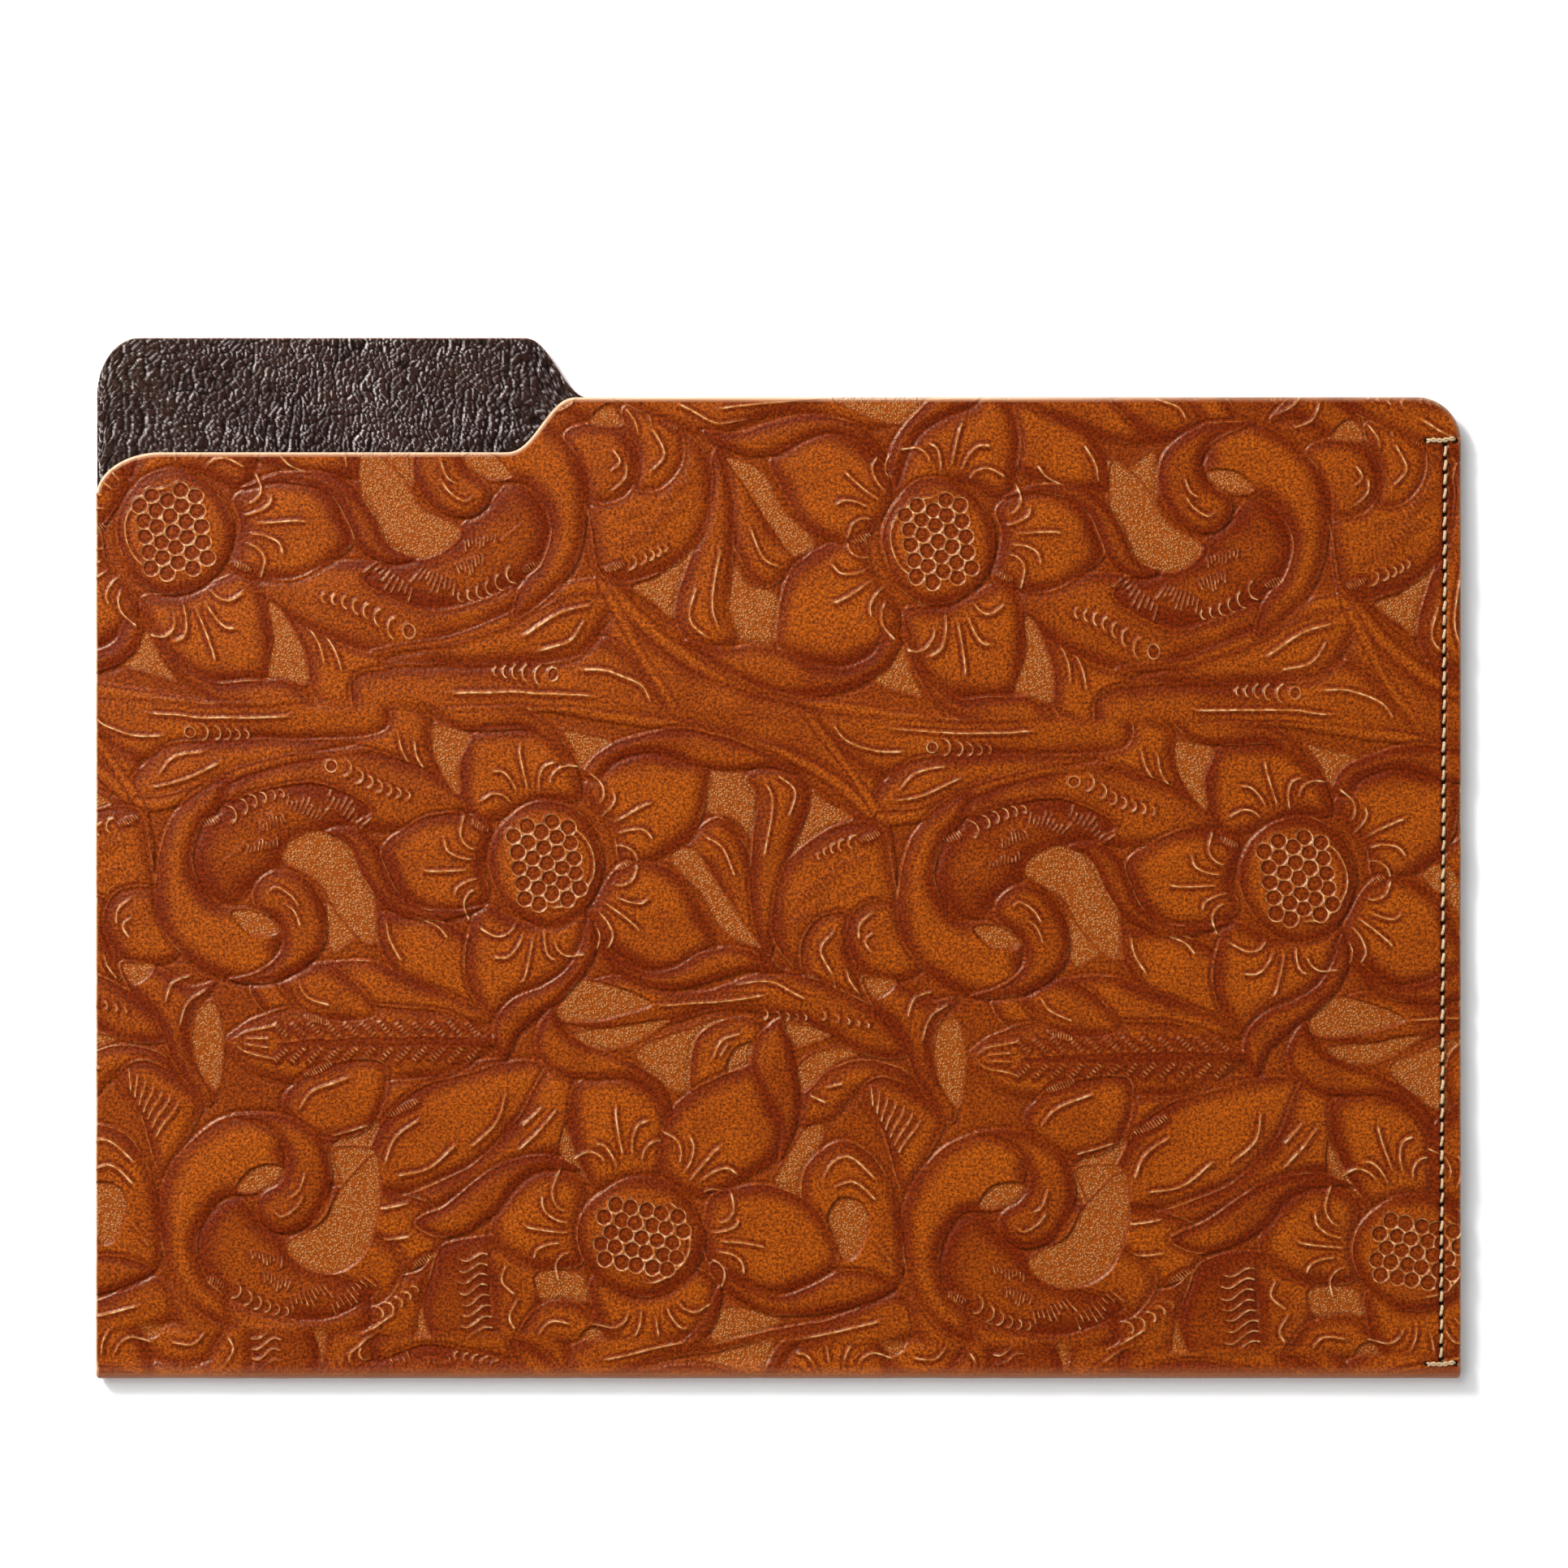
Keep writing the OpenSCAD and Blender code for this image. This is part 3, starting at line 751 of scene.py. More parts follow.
def slab(name, face, under, coarse, colours, flip=False):
    """A closed sheet. face is a fine grid of points, under the same grid on the other side, of
    which only every coarse-th point is used inside. colours go to the points of the face."""
    rows, columns, _ = face.shape
    index = np.arange(rows * columns).reshape(rows, columns)
    ring = np.concatenate([index[0, :], index[1:, -1], index[-1, -2::-1], index[-2:0:-1, 0]])
    flat_face, flat_under = face.reshape(-1, 3), under.reshape(-1, 3)
    middle = (flat_face[ring] + flat_under[ring]) / 2
    keep_rows = sorted({*range(0, rows, coarse), rows - 1})
    keep_columns = sorted({*range(0, columns, coarse), columns - 1})
    inner = index[np.ix_(keep_rows[1:-1], keep_columns[1:-1])].ravel()
    below = np.concatenate([ring, inner])
    start = rows * columns + len(ring)
    lookup = np.full(rows * columns, -1)
    lookup[below] = start + np.arange(len(below))
    points = np.vstack([flat_face, middle, flat_under[below]])

    quads = np.stack([index[:-1, :-1], index[1:, :-1], index[1:, 1:], index[:-1, 1:]], -1)
    quads = quads.reshape(-1, 4)
    after = np.roll(ring, -1)
    m0 = rows * columns + np.arange(len(ring))
    m1 = np.roll(m0, -1)
    walls = np.vstack([np.stack([ring, after, m1, m0], -1),
                       np.stack([m0, m1, lookup[after], lookup[ring]], -1)])
    quads = np.vstack([quads, walls])
    polygons = []
    for r0, r1 in zip(keep_rows[:-1], keep_rows[1:]):
        for c0, c1 in zip(keep_columns[:-1], keep_columns[1:]):
            loop = list(index[r0, c0:c1 + 1]) if r0 == 0 else [index[r0, c0], index[r0, c1]]
            loop += list(index[r0 + 1:r1, c1]) if c1 == columns - 1 else []
            loop += (list(index[r1, c0:c1 + 1][::-1]) if r1 == rows - 1
                     else [index[r1, c1], index[r1, c0]])
            loop += list(index[r0 + 1:r1, c0][::-1]) if c0 == 0 else []
            polygons.append(lookup[loop])

    corners = np.concatenate([quads.ravel()] + polygons)
    sizes = np.concatenate([np.full(len(quads), 4), [len(p) for p in polygons]])
    if flip:
        ends = np.cumsum(sizes)
        starts = ends - sizes
        order = np.repeat(starts + ends - 1, sizes) - np.arange(len(corners))
        corners = corners[order]
    mesh = bpy.data.meshes.new(name)
    mesh.vertices.add(len(points))
    mesh.vertices.foreach_set("co", (points * MM).astype(np.float32).ravel())
    mesh.loops.add(len(corners))
    mesh.loops.foreach_set("vertex_index", corners.astype(np.int32))
    mesh.polygons.add(len(sizes))
    mesh.polygons.foreach_set("loop_start", (np.cumsum(sizes) - sizes).astype(np.int32))
    mesh.update(calc_edges=True)
    mesh.polygons.foreach_set("use_smooth", np.ones(len(sizes), bool))
    for key, values in colours.items():
        values = values.reshape(rows * columns, -1)
        whole = np.vstack([values, values[ring], values[below]])
        kind = "FLOAT_COLOR" if values.shape[1] == 4 else "FLOAT_VECTOR"
        layer = mesh.attributes.new(key, kind, "POINT")
        layer.data.foreach_set("color" if kind == "FLOAT_COLOR" else "vector",
                               whole.astype(np.float32).ravel())
    obj = bpy.data.objects.new(name, mesh)
    bpy.context.collection.objects.link(obj)
    return obj


# The outer leather's fold and its relief, in mm
FOLD_R = MID_Z
FOLD_ROWS = 16
THINNEST = 0.15
RELIEF_SCALE, GROUND_DEPTH = 1.5, 0.85
RIDGE_RISE = 0.30
WAVINESS = 0.22
HIGHEST = 0.05
PRESSED_LEVEL = -0.16
GROOVE_DEPTH, TACK_DEPTH, HOLE_DEPTH = 0.36, 0.32, 0.75
SEAM_LEAN = 0.45 / 100


def seam_at(y):
    """The seam leans a little: it stands further out at the top."""
    return SEAM_X + SEAM_LEAN * (y - 4)


TACKS = [((low.x / MM, high.x / MM), (low.y + high.y) / 2 / MM)
         for low, high in (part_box("upper_bar_tack"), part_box("lower_bar_tack"))]


def stitch_relief(x, y):
    """The groove and the needle holes: level in mm, a band beside the seam that is pressed flat and that
    carries a painted shade, and the holes, which the material paints dark as shade.
    """
    off = np.abs(x - seam_at(y))
    run = smooth(SEAM_LOW - 1.0, SEAM_LOW - 0.4, y) * (1 - smooth(SEAM_TOP + 0.4, SEAM_TOP + 1.0, y))
    groove = GROOVE_DEPTH * bell(off, 0.75) * run
    stitch = (y - SEAM_LOW) / PITCH
    gap = np.abs(stitch - np.round(stitch)) * PITCH
    holes = bell(np.hypot(off * 1.15, 0.62 * gap), 0.55) * run
    for (x0, x1), middle in TACKS:
        beyond = np.maximum(np.maximum(x0 - x, x - x1), 0)
        groove = np.maximum(groove, TACK_DEPTH * bell(np.hypot(beyond, y - middle), 0.85))
        for end in (x0 + 0.1, x1 - 0.1):
            holes = np.maximum(holes, bell(np.hypot(x - end, y - middle), 0.55))
    return -(groove + HOLE_DEPTH * holes), bell(off, 0.9) * run, holes


def stretched(u, v):
    """The place on the plate for a place on the sheet. The pattern is shifted by some mm near the
    sheet's upper edge, its foot and its right side, so that its flowers lie where they should."""
    upper = smooth(4, -30, v)
    lower = smooth(75, 118, v)
    left = smooth(30, -45, u)
    right = smooth(150, 225, u)
    aside = 5.2 * left * upper - 2.4 * right * smooth(0, 30, v) - 5.0 * right * lower
    return u + aside, v + upper * (5.4 - 1.4 * left) - 3.0 * lower


def relief(x, s):
    """Height of the tooled face above the CAD face, and the colour values, for sheet places.
    s is the distance down the sheet from the level of y = 0 on the front."""
    u, v = stretched(x + PLATE_U, s + PLATE_V)
    h = RELIEF_SCALE * sample(height, u, v) - GROUND_DEPTH
    lift = sample(ridge, u, v) * (0.78 + 0.30 * noise(u, v, 0.8, 33))
    soft = (noise(x, s, 22, 3) - 0.5) * WAVINESS
    return h + RIDGE_RISE * lift + soft, lift, sample(stain_and_shade, u, v), sample(stipple, u, v)


def tooled_face(x, s, y):
    """Level and colours of the outer leather at sheet places, with the seam pressed in and painted shade
    on the left side of its groove.
    """
    rise, lift, tone, dots = relief(x, s)
    cut, worn_and_painted_light, pits = stitch_relief(x, y)
    calm = 1 - 0.6 * worn_and_painted_light
    rise = np.minimum(rise, HIGHEST) * calm + cut
    # Painted shade on the left side of the seam's groove.
    tone = tone + 0.5 * worn_and_painted_light * smooth(0.3, -0.6, x - seam_at(y))
    return rise, lift * calm, tone, dots, pits


def calmed(rise, lift, dots, turned):
    """The fold has pressed the pattern nearly flat."""
    rise = rise + (PRESSED_LEVEL - rise) * 0.9 * turned
    return rise, lift * (1 - 0.8 * turned), dots * (1 - 0.8 * turned)


def bevel(rise, distance, wide, deep):
    """Rounds the face over towards its cut edge."""
    t = np.clip(1 - distance / wide, 0, 1)
    return rise - deep * (1 - np.sqrt(np.maximum(1 - t ** 2, 0)))


def near_fold(y):
    """Runs from 0 on the flat panel to 1 where the fold begins."""
    return smooth(FOLD_Y + 3.0, FOLD_Y, y)


def panel_grid(top, highest, step, seam_step):
    """Places over a panel: rows from its upper edge down to the fold, closer near the edges."""
    columns = spaced(LEFT, RIGHT, step, [(LEFT, 6, 0.03), (RIGHT, 5, 0.03), (SEAM_X, 3, seam_step)])
    count = int((highest - FOLD_Y) / step)
    x, down = np.meshgrid(columns, spaced(0, 1, 1.0 / count, [(0, 0.012, 0.4 / count)]))
    edge = top(x)
    return columns, x, edge + (FOLD_Y - edge) * down


def leather_colours(x, s, tooling, inner, worn_and_painted_light, pits):
    """What the outer leather's material reads at each point of the face."""
    return {"tooling": np.stack(tooling, -1),
            "edge_fold_and_holes": np.stack([inner, worn_and_painted_light, 0 * x, pits], -1),
            "sheet": np.stack([x * MM, s * MM, 0 * x], -1)}


FRONT_STEP = 0.25
BACK_STEP = 0.4
SIDE_WIDE, SIDE_DEEP = 0.5, 0.35


def leather_front():
    """The front panel and the fold in one sheet."""
    columns, x, y = panel_grid(front_top, EDGE_Y, FRONT_STEP, 0.14)
    flat_rows = len(y)
    xf, angle = np.meshgrid(columns, np.linspace(0, math.pi, FOLD_ROWS + 1)[1:])
    all_x = np.vstack([x, xf])
    all_s = np.vstack([-y, -FOLD_Y + angle * FOLD_R])
    all_y = np.vstack([y, np.full(xf.shape, FOLD_Y)])
    distance = edge_distance(all_x, np.vstack([y, FOLD_Y - angle * FOLD_R]), front_top)
    rise, lift, tone, dots, pits = tooled_face(all_x, all_s, all_y)
    turned = np.vstack([near_fold(y), 1 + 0 * angle])
    rise, lift, dots = calmed(rise, lift, dots, turned)
    # Scuffing with a painted highlight along the fold, strongest on its round.
    worn_and_painted_light = np.vstack([0.25 * smooth(FOLD_Y + 1.2, FOLD_Y, y),
                      0.25 + 0.75 * smooth(0.1, 0.5, np.sin(angle))])
    side = np.minimum(all_x - LEFT, RIGHT - all_x)
    beside = side < distance + 0.05
    wide = np.where(beside, SIDE_WIDE + 0.4 * turned, 1.15)
    deep = np.where(beside, SIDE_DEEP + 0.35 * turned, 0.85)
    rise = np.maximum(bevel(rise, distance, wide, deep), THINNEST - OUTER_T)
    raw = (1 - smooth(0.75, 1.0, distance / wide)) * (1 - 0.65 * smooth(30, 115, all_x))
    inner = np.clip(distance / wide, 0, 1)
    r = FOLD_R + rise[flat_rows:]
    face = np.stack([
        all_x,
        np.vstack([y, FOLD_Y - r * np.sin(angle)]),
        np.vstack([TOTAL_T + rise[:flat_rows], MID_Z + r * np.cos(angle)])], -1)
    ri = FOLD_R - OUTER_T
    under = np.stack([
        all_x,
        np.vstack([y, FOLD_Y - ri * np.sin(angle)]),
        np.vstack([np.full(x.shape, TOTAL_T - OUTER_T), MID_Z + ri * np.cos(angle)])], -1)
    colours = leather_colours(all_x, all_s, [tone, lift, dots, raw], inner, worn_and_painted_light, pits)
    return slab("leather_front", face, under, 14, colours)


def leather_back():
    """The back panel with its tab."""
    _, x, y = panel_grid(back_top, TAB_Y, BACK_STEP, 0.2)
    s = -FOLD_Y + math.pi * FOLD_R + (y - FOLD_Y)
    distance = edge_distance(x, y, back_top)
    rise, lift, tone, dots, pits = tooled_face(x, s, y)
    rise, lift, dots = calmed(rise, lift, dots, near_fold(y))
    rise = np.maximum(bevel(rise, distance, SIDE_WIDE, SIDE_DEEP), THINNEST - OUTER_T)
    raw = 1 - smooth(0.75, 1.0, distance / SIDE_WIDE)
    face = np.stack([x, y, -rise], -1)
    under = np.stack([x, y, np.full(x.shape, OUTER_T)], -1)
    inner = np.clip(distance / SIDE_WIDE, 0, 1)
    colours = leather_colours(x, s, [tone, lift, dots, raw], inner, 0 * x, pits)
    return slab("leather_back", face, under, 20, colours, flip=True)


def pebbles(x, y):
    """The lining's pebbled grain and creases: level in mm, grain that falls low in the gaps and crease
    valleys, and a painted highlight on the flanks that face the upper left.
    """
    wx = x + 1.4 * (noise(x, y, 3.1, 5) - 0.5)
    wy = 0.72 * y + 1.2 * (noise(x, y, 2.7, 6) - 0.5)
    first, second = cells(wx, wy, 1.25, 11)
    grain = smooth(0.0, 0.36, second - first)
    wave = x / 2.5 + 2.6 * noise(x, y * 0.6, 17, 7) + 0.9 * noise(x, y, 3.2, 8)
    strength = smooth(0.34, 0.66, noise(x, y * 0.8, 4, 9))
    valley = smooth(0.66, 1.0, np.sin(2 * math.pi * wave)) * strength
    rise = 0.19 * grain * (1 - 0.5 * valley) - 0.13 * valley - 0.06
    # Painted highlight: the flanks that face the upper left, found from the slope of the surface.
    flank = np.gradient(rise, axis=1) / np.gradient(x, axis=1) - 0.35 * (
        np.gradient(rise, axis=0) / np.gradient(y, axis=0))
    sparkle = smooth(0.10, 0.42, flank) * (0.35 + 0.65 * smooth(0.35, 0.60, noise(x, y, 2.0, 10)))
    # The grain that is returned is low in the pebble gaps and crease valleys; the material paints shade
    # there.
    return rise, grain * (1 - valley), sparkle


LINING_STEP = 0.24
LINING_RUN = 225


def lining(name, top, level, inner_sign, other, fold_rows=0):
    """One side of the lining. Its pebbled face is at level and its bonded face at other.
    The side that shows behind the tab, with its face up, has the finer mesh."""
    across, down = [(LEFT, 6, 0.06), (RIGHT, 5, 0.06)], [(0, 0.03, 0.5 / LINING_RUN)]
    if inner_sign > 0:
        across.append((LEFT + 58, 170, LINING_STEP))
        down = [(0, 0.6, LINING_STEP / LINING_RUN)]
    columns = spaced(LEFT, RIGHT, 0.9, across)
    x, share = np.meshgrid(columns, spaced(0, 1, 1.2 / LINING_RUN, down))
    edge = top(x)
    y = edge + (FOLD_Y - edge) * share
    rise, grain, painted_highlight = pebbles(x, y)
    distance = edge_distance(x, y, top)
    rise = bevel(rise, distance, 0.35, 0.15)
    edge_tone = 1 - smooth(0.0, 0.5, distance)
    points = np.stack([x, y, level + inner_sign * rise], -1)
    under = np.stack([x, y, np.full(x.shape, other)], -1)
    if fold_rows:
        turn = np.linspace(0, math.pi, fold_rows + 1)[1:]
        xf, angle = np.meshgrid(columns, turn)
        small, large = MID_Z - OUTER_T - LINING_T, MID_Z - OUTER_T
        arc_in = np.stack([xf, FOLD_Y - small * np.sin(angle), MID_Z + small * np.cos(angle)], -1)
        arc_out = np.stack([xf, FOLD_Y - large * np.sin(angle), MID_Z + large * np.cos(angle)], -1)
        points, under = np.vstack([points, arc_in]), np.vstack([under, arc_out])
        x, y = np.vstack([x, xf]), np.vstack([y, FOLD_Y - angle * large])
        grain, painted_highlight = (np.vstack([a, 0 * xf]) for a in (grain, painted_highlight))
        edge_tone = np.vstack([edge_tone, 0 * xf])
    colours = {"tooling": np.stack([grain, painted_highlight, edge_tone, 1 + 0 * x], -1),
               "sheet": np.stack([x * MM, y * MM, 0 * x], -1)}
    return slab(name, points, under, 4, colours, flip=inner_sign < 0)


# ---------------------------------------------------------------- threads

def twisted(path, radius, turns, sides=12, plies=2):
    """Rings of a twisted thread round a path in the y-z plane or any plane near it."""
    path = np.array(path, float)
    tangent = np.gradient(path, axis=0)
    tangent /= np.linalg.norm(tangent, axis=1)[:, None]
    side = np.cross(tangent, [0, 0, 1.0])
    bad = np.linalg.norm(side, axis=1) < 0.2
    side[bad] = side[~bad].mean(0)
    side /= np.linalg.norm(side, axis=1)[:, None]
    up = np.cross(side, tangent)
    length = np.concatenate([[0], np.cumsum(np.linalg.norm(np.diff(path, axis=0), axis=1))])
    a = np.linspace(0, 2 * math.pi, sides, endpoint=False)
    twist = 2 * math.pi * turns * length[:, None] / length[-1]
    r = radius * (0.86 + 0.16 * np.abs(np.cos(plies * 0.5 * (a[None] - twist))))
    return (path[:, None] + (r * np.cos(a))[..., None] * side[:, None]
            + (r * np.sin(a))[..., None] * up[:, None])


def tubes(name, rings_list, body):
    """One mesh of closed tubes from lists of rings."""
    points, faces, base = [], [], 0
    for rings in rings_list:
        n, sides, _ = rings.shape
        points.append(rings.reshape(-1, 3))
        for k in range(n - 1):
            for i in range(sides):
                j = (i + 1) % sides
                faces.append((base + k * sides + i, base + k * sides + j,
                              base + (k + 1) * sides + j, base + (k + 1) * sides + i))
        faces.append(tuple(base + i for i in reversed(range(sides))))
        faces.append(tuple(base + (n - 1) * sides + i for i in range(sides)))
        base += n * sides
    mesh = bpy.data.meshes.new(name)
    mesh.from_pydata((np.vstack(points) * MM).tolist(), [], faces)
    mesh.polygons.foreach_set("use_smooth", np.ones(len(faces), bool))
    mesh.update()
    obj = bpy.data.objects.new(name, mesh)
    bpy.context.collection.objects.link(obj)
    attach(obj, body)
    return obj


def arched(s, ramp, foot, rise):
    """Level of a thread that comes up out of one hole and goes down the next."""
    sag = np.clip(np.minimum(s, 1 - s) / ramp, 0, 1)
    return foot + rise * np.sin(sag * math.pi / 2) ** 0.6


def stitch_path(y0, y1, level, sign, phase):
    """The centre of one stitch: up out of a hole, along the groove and down the next hole."""
    s = np.linspace(0, 1, 15)
    y = y0 + (y1 - y0) * (0.20 + 0.60 * s)
    z = arched(s, 0.22, -1.05, 0.70)
    x = seam_at(y) + (0.30 + 0.12 * math.sin(3 * phase)) * (s - 0.5) + 0.06 * math.sin(7 * phase)
    return np.stack([x, y, level + sign * z], -1)


def seam_thread(name, level, sign, node):
    """One face's row of stitches. sign is 1 on the front and -1 on the back."""
    rings = []
    for k in range(STITCHES):
        path = stitch_path(SEAM_LOW + k * PITCH, SEAM_LOW + (k + 1) * PITCH, level, sign, k)
        rings.append(twisted(path, 0.35 + 0.03 * math.sin(5 * k), 1.6 * sign))
    obj = tubes(name, rings, "sleeve")
    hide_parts(node)
    return obj


def bar_tack(name, node):
    """A doubled thread across the end of the seam, on both faces."""
    low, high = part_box(node)
    y = (low.y + high.y) / 2 / MM
    x0, x1 = low.x / MM + 0.1, high.x / MM - 0.1
    rings = []
    for level, sign in ((TOTAL_T, 1), (0.0, -1)):
        for k in (-1, 1):
            s = np.linspace(0, 1, 25)
            z = arched(s, 0.08, -1.0, 0.62)
            turn = 2 * math.pi * 2.3 * s
            path = np.stack([x0 + (x1 - x0) * (0.03 + 0.94 * s),
                             y + 0.31 * k * np.cos(turn) + 0.4 * (s - 0.5) + 0.12 * np.sin(9 * s),
                             level + sign * (z + 0.12 * k * np.sin(turn))], -1)
            rings.append(twisted(path, 0.27, 4 * k))
    obj = tubes(name, rings, "sleeve")
    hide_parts(node)
    return obj


# ---------------------------------------------------------------- materials

class Nodes:
    """Builds one node material."""

    def __init__(self, name):
        self.material = bpy.data.materials.new(name)
        self.material.use_nodes = True
        self.tree = self.material.node_tree
        self.shader = self.tree.nodes["Principled BSDF"]

    def add(self, kind, settings=None, **inputs):
        """Adds a node. An input is named, or is its place after an underscore."""
        node = self.tree.nodes.new(kind)
        for key, value in (settings or {}).items():
            setattr(node, key, value)
        for key, value in inputs.items():
            self.put(node.inputs[int(key[1:]) if key[0] == "_" else key.replace("_", " ")], value)
        return node

    def put(self, socket, value):
        """Joins a socket to another, or sets it."""
        if isinstance(value, bpy.types.NodeSocket):
            self.tree.links.new(value, socket)
        else:
            socket.default_value = value

    def sheet(self):
        """The place on the flat sheet, in metres."""
        return self.add("ShaderNodeAttribute", {"attribute_name": "sheet"}).outputs["Vector"]

    def channels(self, name):
        """The four values of a colour attribute."""
        read = self.add("ShaderNodeAttribute", {"attribute_name": name}).outputs
        parts = self.add("ShaderNodeSeparateColor", None, Color=read["Color"]).outputs
        return parts[0], parts[1], parts[2], read["Alpha"]

    def math(self, how, a, b):
        return self.add("ShaderNodeMath", {"operation": how}, _0=a, _1=b).outputs[0]

    def times(self, a, b):
        return self.math("MULTIPLY", a, b)

    def plus(self, a, b):
        return self.math("ADD", a, b)

    def span(self, value, low, high):
        """Runs from 0 where the value is low to 1 where it is high."""
        return self.add("ShaderNodeMapRange", {"interpolation_type": "SMOOTHSTEP"}, _0=value, _1=low,
                        _2=high).outputs[0]

    def mix(self, factor, a, b, how="MIX"):
        node = self.add("ShaderNodeMix", {"data_type": "RGBA", "blend_type": how})
        self.put(node.inputs[0], factor)
        self.put(node.inputs[6], a)
        self.put(node.inputs[7], b)
        return node.outputs[2]

    def tint(self, base, mask, share, code):
        """Mixes a colour into the base where the mask is, by a share of it."""
        return self.mix(self.times(mask, share), base, colour(code))

    def texture(self, place, scale, detail=2.0, roughness=0.5):
        return self.add("ShaderNodeTexNoise", None, Vector=place, Scale=scale, Detail=detail,
                        Roughness=roughness).outputs["Fac"]

    def dots(self, place, scale):
        return self.add("ShaderNodeTexVoronoi", None, Vector=place, Scale=scale).outputs["Distance"]

    def bump(self, height_value, strength, distance, normal=None):
        node = self.add("ShaderNodeBump", None, Height=height_value, Strength=strength,
                        Distance=distance)
        if normal is not None:
            self.put(node.inputs["Normal"], normal)
        return node.outputs[0]

    def finish(self, **inputs):
        """Sets or joins the shader's inputs."""
        for key, value in inputs.items():
            self.put(self.shader.inputs[key.replace("_", " ")], value)
        return self.material


def colour(code):
    """A linear colour from an sRGB hex code."""
    values = [int(code[k:k + 2], 16) / 255 for k in (1, 3, 5)]
    return tuple(c / 12.92 if c < 0.04045 else ((c + 0.055) / 1.055) ** 2.4 for c in values) + (1.0,)


def outer_leather():
    """Cognac leather with an antique finish, paler on its high places and with a painted highlight along
    its raised lines, raw at its cut edge; a scuffed fold with a painted highlight, and needle holes
    painted dark as shade.
    """
    m = Nodes("outer_leather")
    sheet = m.sheet()
    tone, lift, dotted, raw = m.channels("tooling")
    inner, worn_and_painted_light, _, holes = m.channels("edge_fold_and_holes")

    cloud = m.texture(sheet, 28.0, 4.0, 0.6)
    mottle = m.texture(sheet, 330.0, 4.0, 0.7)
    fleck = m.texture(sheet, 1450.0, 3.0, 0.7)
    grain = m.texture(sheet, 2100.0, 3.0, 0.7)
    pores = m.dots(sheet, 1200.0)
    beads = m.dots(sheet, 1900.0)

    depth = m.plus(tone, m.times(m.math("SUBTRACT", cloud, 0.5), 0.6))
    depth = m.plus(depth, m.times(m.math("SUBTRACT", mottle, 0.5), 0.45))
    base = m.mix(m.span(depth, -0.1, 1.05), colour("#9f4a08"), colour("#6a2000"))
    speckle = m.mix(m.span(fleck, 0.36, 0.64), (0.50, 0.46, 0.38, 1), (1.46, 1.50, 1.46, 1))
    base = m.mix(1.0, base, speckle, "MULTIPLY")
    base = m.tint(base, m.span(grain, 0.50, 0.38), 0.65, "#4a1300")
    base = m.tint(base, m.span(pores, 0.34, 0.10), 0.70, "#380c00")
    pale_ground = m.mix(m.span(beads, 0.60, 0.12), colour("#8c420e"), colour("#cf9250"))
    base = m.mix(m.times(dotted, 0.52), base, pale_ground)
    # Raised lines paler: partly antique finish wiped from the high places, partly a painted highlight,
    # which the cream core gives.
    base = m.tint(base, m.span(lift, 0.45, 0.80), 0.45, "#c98443")
    base = m.tint(base, m.span(lift, 0.72, 0.98), 0.65, "#f2cfa0")
    cream = m.mix(m.span(inner, 0.25, 0.60), colour("#d9b99a"), colour("#8d5030"))
    cream = m.tint(cream, mottle, 0.5, "#b98b66")
    base = m.mix(raw, base, cream)
    # Pinkish paler tint on the fold: scuffing together with a painted highlight.
    base = m.tint(base, worn_and_painted_light, 0.55, "#c08058")
    # Needle holes painted almost black: painted shade inside the holes.
    base = m.mix(m.span(holes, 0.15, 0.65), base, colour("#120500"))

    gloss = m.plus(m.plus(m.times(mottle, 0.16), 0.25), m.times(raw, 0.3))
    knobs = m.times(m.span(beads, 0.62, 0.08), dotted)
    normal = m.bump(m.plus(m.times(fleck, 0.6), m.times(pores, 0.5)), 0.7, 0.00020)
    normal = m.bump(knobs, 0.8, 0.00022, normal)
    return m.finish(Base_Color=base, Roughness=gloss, Specular_IOR_Level=0.28, Normal=normal)


def lining_leather():
    """Dark brown pebbled leather with a dull sheen, painted shade in the gaps and creases, and painted
    highlights on the pebbles' upper left flanks.
    """
    m = Nodes("lining_leather")
    sheet = m.sheet()
    pebbled, painted_highlight, edge, _ = m.channels("tooling")
    cloud = m.texture(sheet, 60.0, 3.0, 0.6)
    grain = m.texture(sheet, 1900.0, 3.0, 0.6)
    base = m.mix(m.span(cloud, 0.3, 0.7), colour("#1e0d0a"), colour("#301b16"))
    # Painted shade in the gaps between pebbles and in the crease valleys.
    base = m.tint(base, m.span(pebbled, 0.85, 0.10), 0.9, "#0b0403")
    # Painted highlight on the pebbles' upper left flanks.
    base = m.tint(base, m.times(painted_highlight, m.span(grain, 0.30, 0.60)), 0.75, "#cfc2bf")
    base = m.tint(base, edge, 0.6, "#5d3a2a")
    gloss = m.plus(m.times(grain, 0.20), 0.24)
    return m.finish(Base_Color=base, Roughness=gloss, Specular_IOR_Level=0.32,
                    Normal=m.bump(grain, 0.45, 0.00016))


def margin_leather():
    """The same lining on a hidden strip that has no sheet places of its own."""
    m = Nodes("lining_margin")
    grain = m.dots(m.add("ShaderNodeTexCoord").outputs["Object"], 750.0)
    base = m.mix(m.span(grain, 0.1, 0.6), colour("#462d25"), colour("#24140f"))
    return m.finish(Base_Color=base, Roughness=0.55, Normal=m.bump(grain, 0.5, 0.0002))


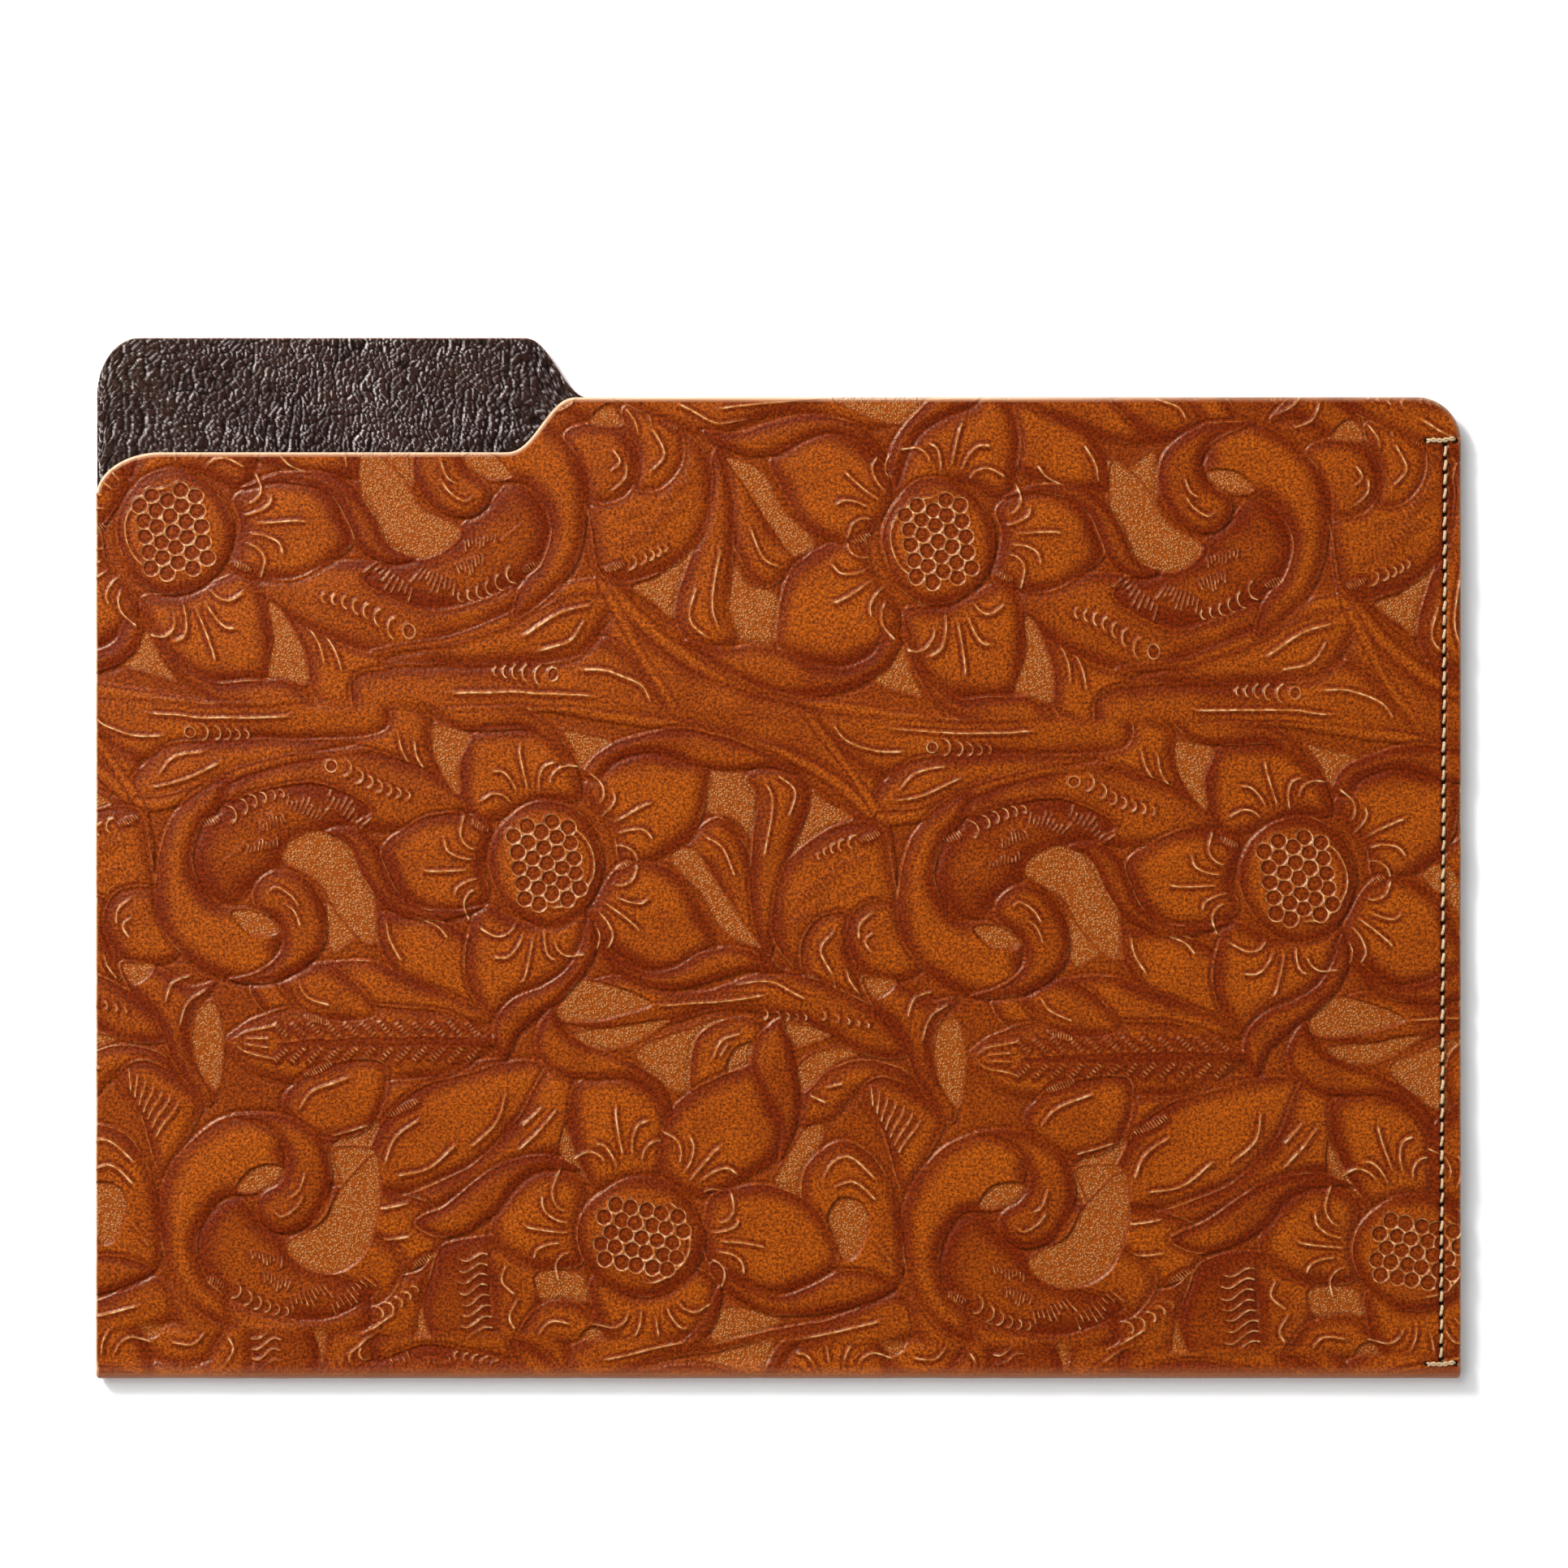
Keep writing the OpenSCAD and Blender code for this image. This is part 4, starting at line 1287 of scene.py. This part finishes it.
def thread_finish():
    """Waxed cream thread with fine fibres along it."""
    m = Nodes("thread")
    place = m.add("ShaderNodeTexCoord").outputs["Object"]
    drawn_out = m.add("ShaderNodeMapping", None, Vector=place, Scale=(9, 2, 9)).outputs[0]
    fibres = m.texture(drawn_out, 900.0, 3.0, 0.7)
    blotch = m.texture(place, 240.0)
    base = m.mix(m.span(fibres, 0.3, 0.75), colour("#a9885f"), colour("#e0cdaa"))
    base = m.tint(base, m.span(blotch, 0.45, 0.75), 0.35, "#9a6a3c")
    return m.finish(Base_Color=base, Roughness=0.6, Normal=m.bump(fibres, 0.5, 0.00008))


def floor_finish():
    """A plain pale studio floor."""
    m = Nodes("floor")
    soft = m.texture(m.add("ShaderNodeTexCoord").outputs["Object"], 3.0)
    base = m.mix(soft, (0.94, 0.94, 0.94, 1), (0.97, 0.97, 0.97, 1))
    return m.finish(Base_Color=base, Roughness=0.8)


# ---------------------------------------------------------------- assembly

outer = outer_leather()
inner = lining_leather()

front = leather_front()
front.data.materials.append(outer)
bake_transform(front)
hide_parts("outer_front_panel", "outer_front_corner", "outer_fold")

back = leather_back()
back.data.materials.append(outer)
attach(back, "sleeve")
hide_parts("outer_back_panel")

lining_front = lining("lining_front", front_top, TOTAL_T - OUTER_T - LINING_T, -1, TOTAL_T - OUTER_T,
                      fold_rows=10)
lining_front.data.materials.append(inner)
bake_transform(lining_front)
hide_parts("lining_front_panel", "lining_front_corner", "lining_fold")

lining_back = lining("lining_back", back_top, OUTER_T + LINING_T, 1, OUTER_T)
lining_back.data.materials.append(inner)
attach(lining_back, "sleeve")
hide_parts("lining_back_panel")

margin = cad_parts["lining_seam_margin"]
margin.data.materials.clear()
margin.data.materials.append(margin_leather())

waxed = thread_finish()
for made in (seam_thread("needle_stitches", TOTAL_T, 1, "needle_thread"),
             seam_thread("bobbin_stitches", 0.0, -1, "bobbin_thread"),
             bar_tack("upper_tack", "upper_bar_tack"),
             bar_tack("lower_tack", "lower_bar_tack")):
    made.data.materials.append(waxed)


# ---------------------------------------------------------------- floor, light and camera

FLOOR_SIZE = 14.0
FLOOR_CELLS = 24
DAYLIGHT = 0.08
KEY_PLACE = (-0.95, 1.05, 0.85)
FRAME_W = 0.3501
FRAME_MIDDLE = (0.00127, 0.01667)


def area(name, place, size, power, shade=(1, 1, 1)):
    """A square lamp that faces the origin."""
    lamp = bpy.data.lights.new(name, "AREA")
    lamp.shape = "RECTANGLE"
    lamp.size = lamp.size_y = size
    lamp.energy = power
    lamp.color = shade
    obj = bpy.data.objects.new(name, lamp)
    bpy.context.collection.objects.link(obj)
    obj.location = place
    way = -np.array(place) / np.linalg.norm(place)
    obj.rotation_euler = Vector(way).to_track_quat("-Z", "Y").to_euler()
    return obj


def studio():
    """A pale floor, a key light from the upper left that gives the gloss, and soft fills."""
    bpy.ops.mesh.primitive_grid_add(x_subdivisions=FLOOR_CELLS, y_subdivisions=FLOOR_CELLS,
                                    size=FLOOR_SIZE, location=(0, 0, 0))
    floor = bpy.context.object
    floor.name = "floor"
    floor.data.materials.append(floor_finish())

    area("key", KEY_PLACE, 0.30, 26).visible_glossy = False
    area("gleam", KEY_PLACE, 0.22, 44, (1.0, 0.82, 0.60)).visible_diffuse = False
    area("soft_key", (-0.75, 0.85, 1.1), 1.4, 22).visible_glossy = False
    area("left_fill", (-1.3, -0.6, 1.4), 1.2, 7).visible_glossy = False
    area("right_fill", (1.3, -0.6, 1.5), 1.4, 13).visible_glossy = False
    world = bpy.data.worlds.new("studio")
    world.use_nodes = True
    background = world.node_tree.nodes["Background"]
    background.inputs["Color"].default_value = (1, 1, 1, 1)
    background.inputs["Strength"].default_value = DAYLIGHT
    bpy.context.scene.world = world


def camera():
    """A camera straight above the folder that sees FRAME_W metres of its front face."""
    data = bpy.data.cameras.new("camera")
    data.lens, data.sensor_width = 100, 36
    data.clip_start, data.clip_end = 0.01, 20
    obj = bpy.data.objects.new("camera", data)
    bpy.context.collection.objects.link(obj)
    obj.location = (*FRAME_MIDDLE, TOTAL_T * MM + FRAME_W * data.lens / data.sensor_width)
    bpy.context.scene.camera = obj


studio()
camera()
bpy.context.scene.view_settings.view_transform = "Standard"
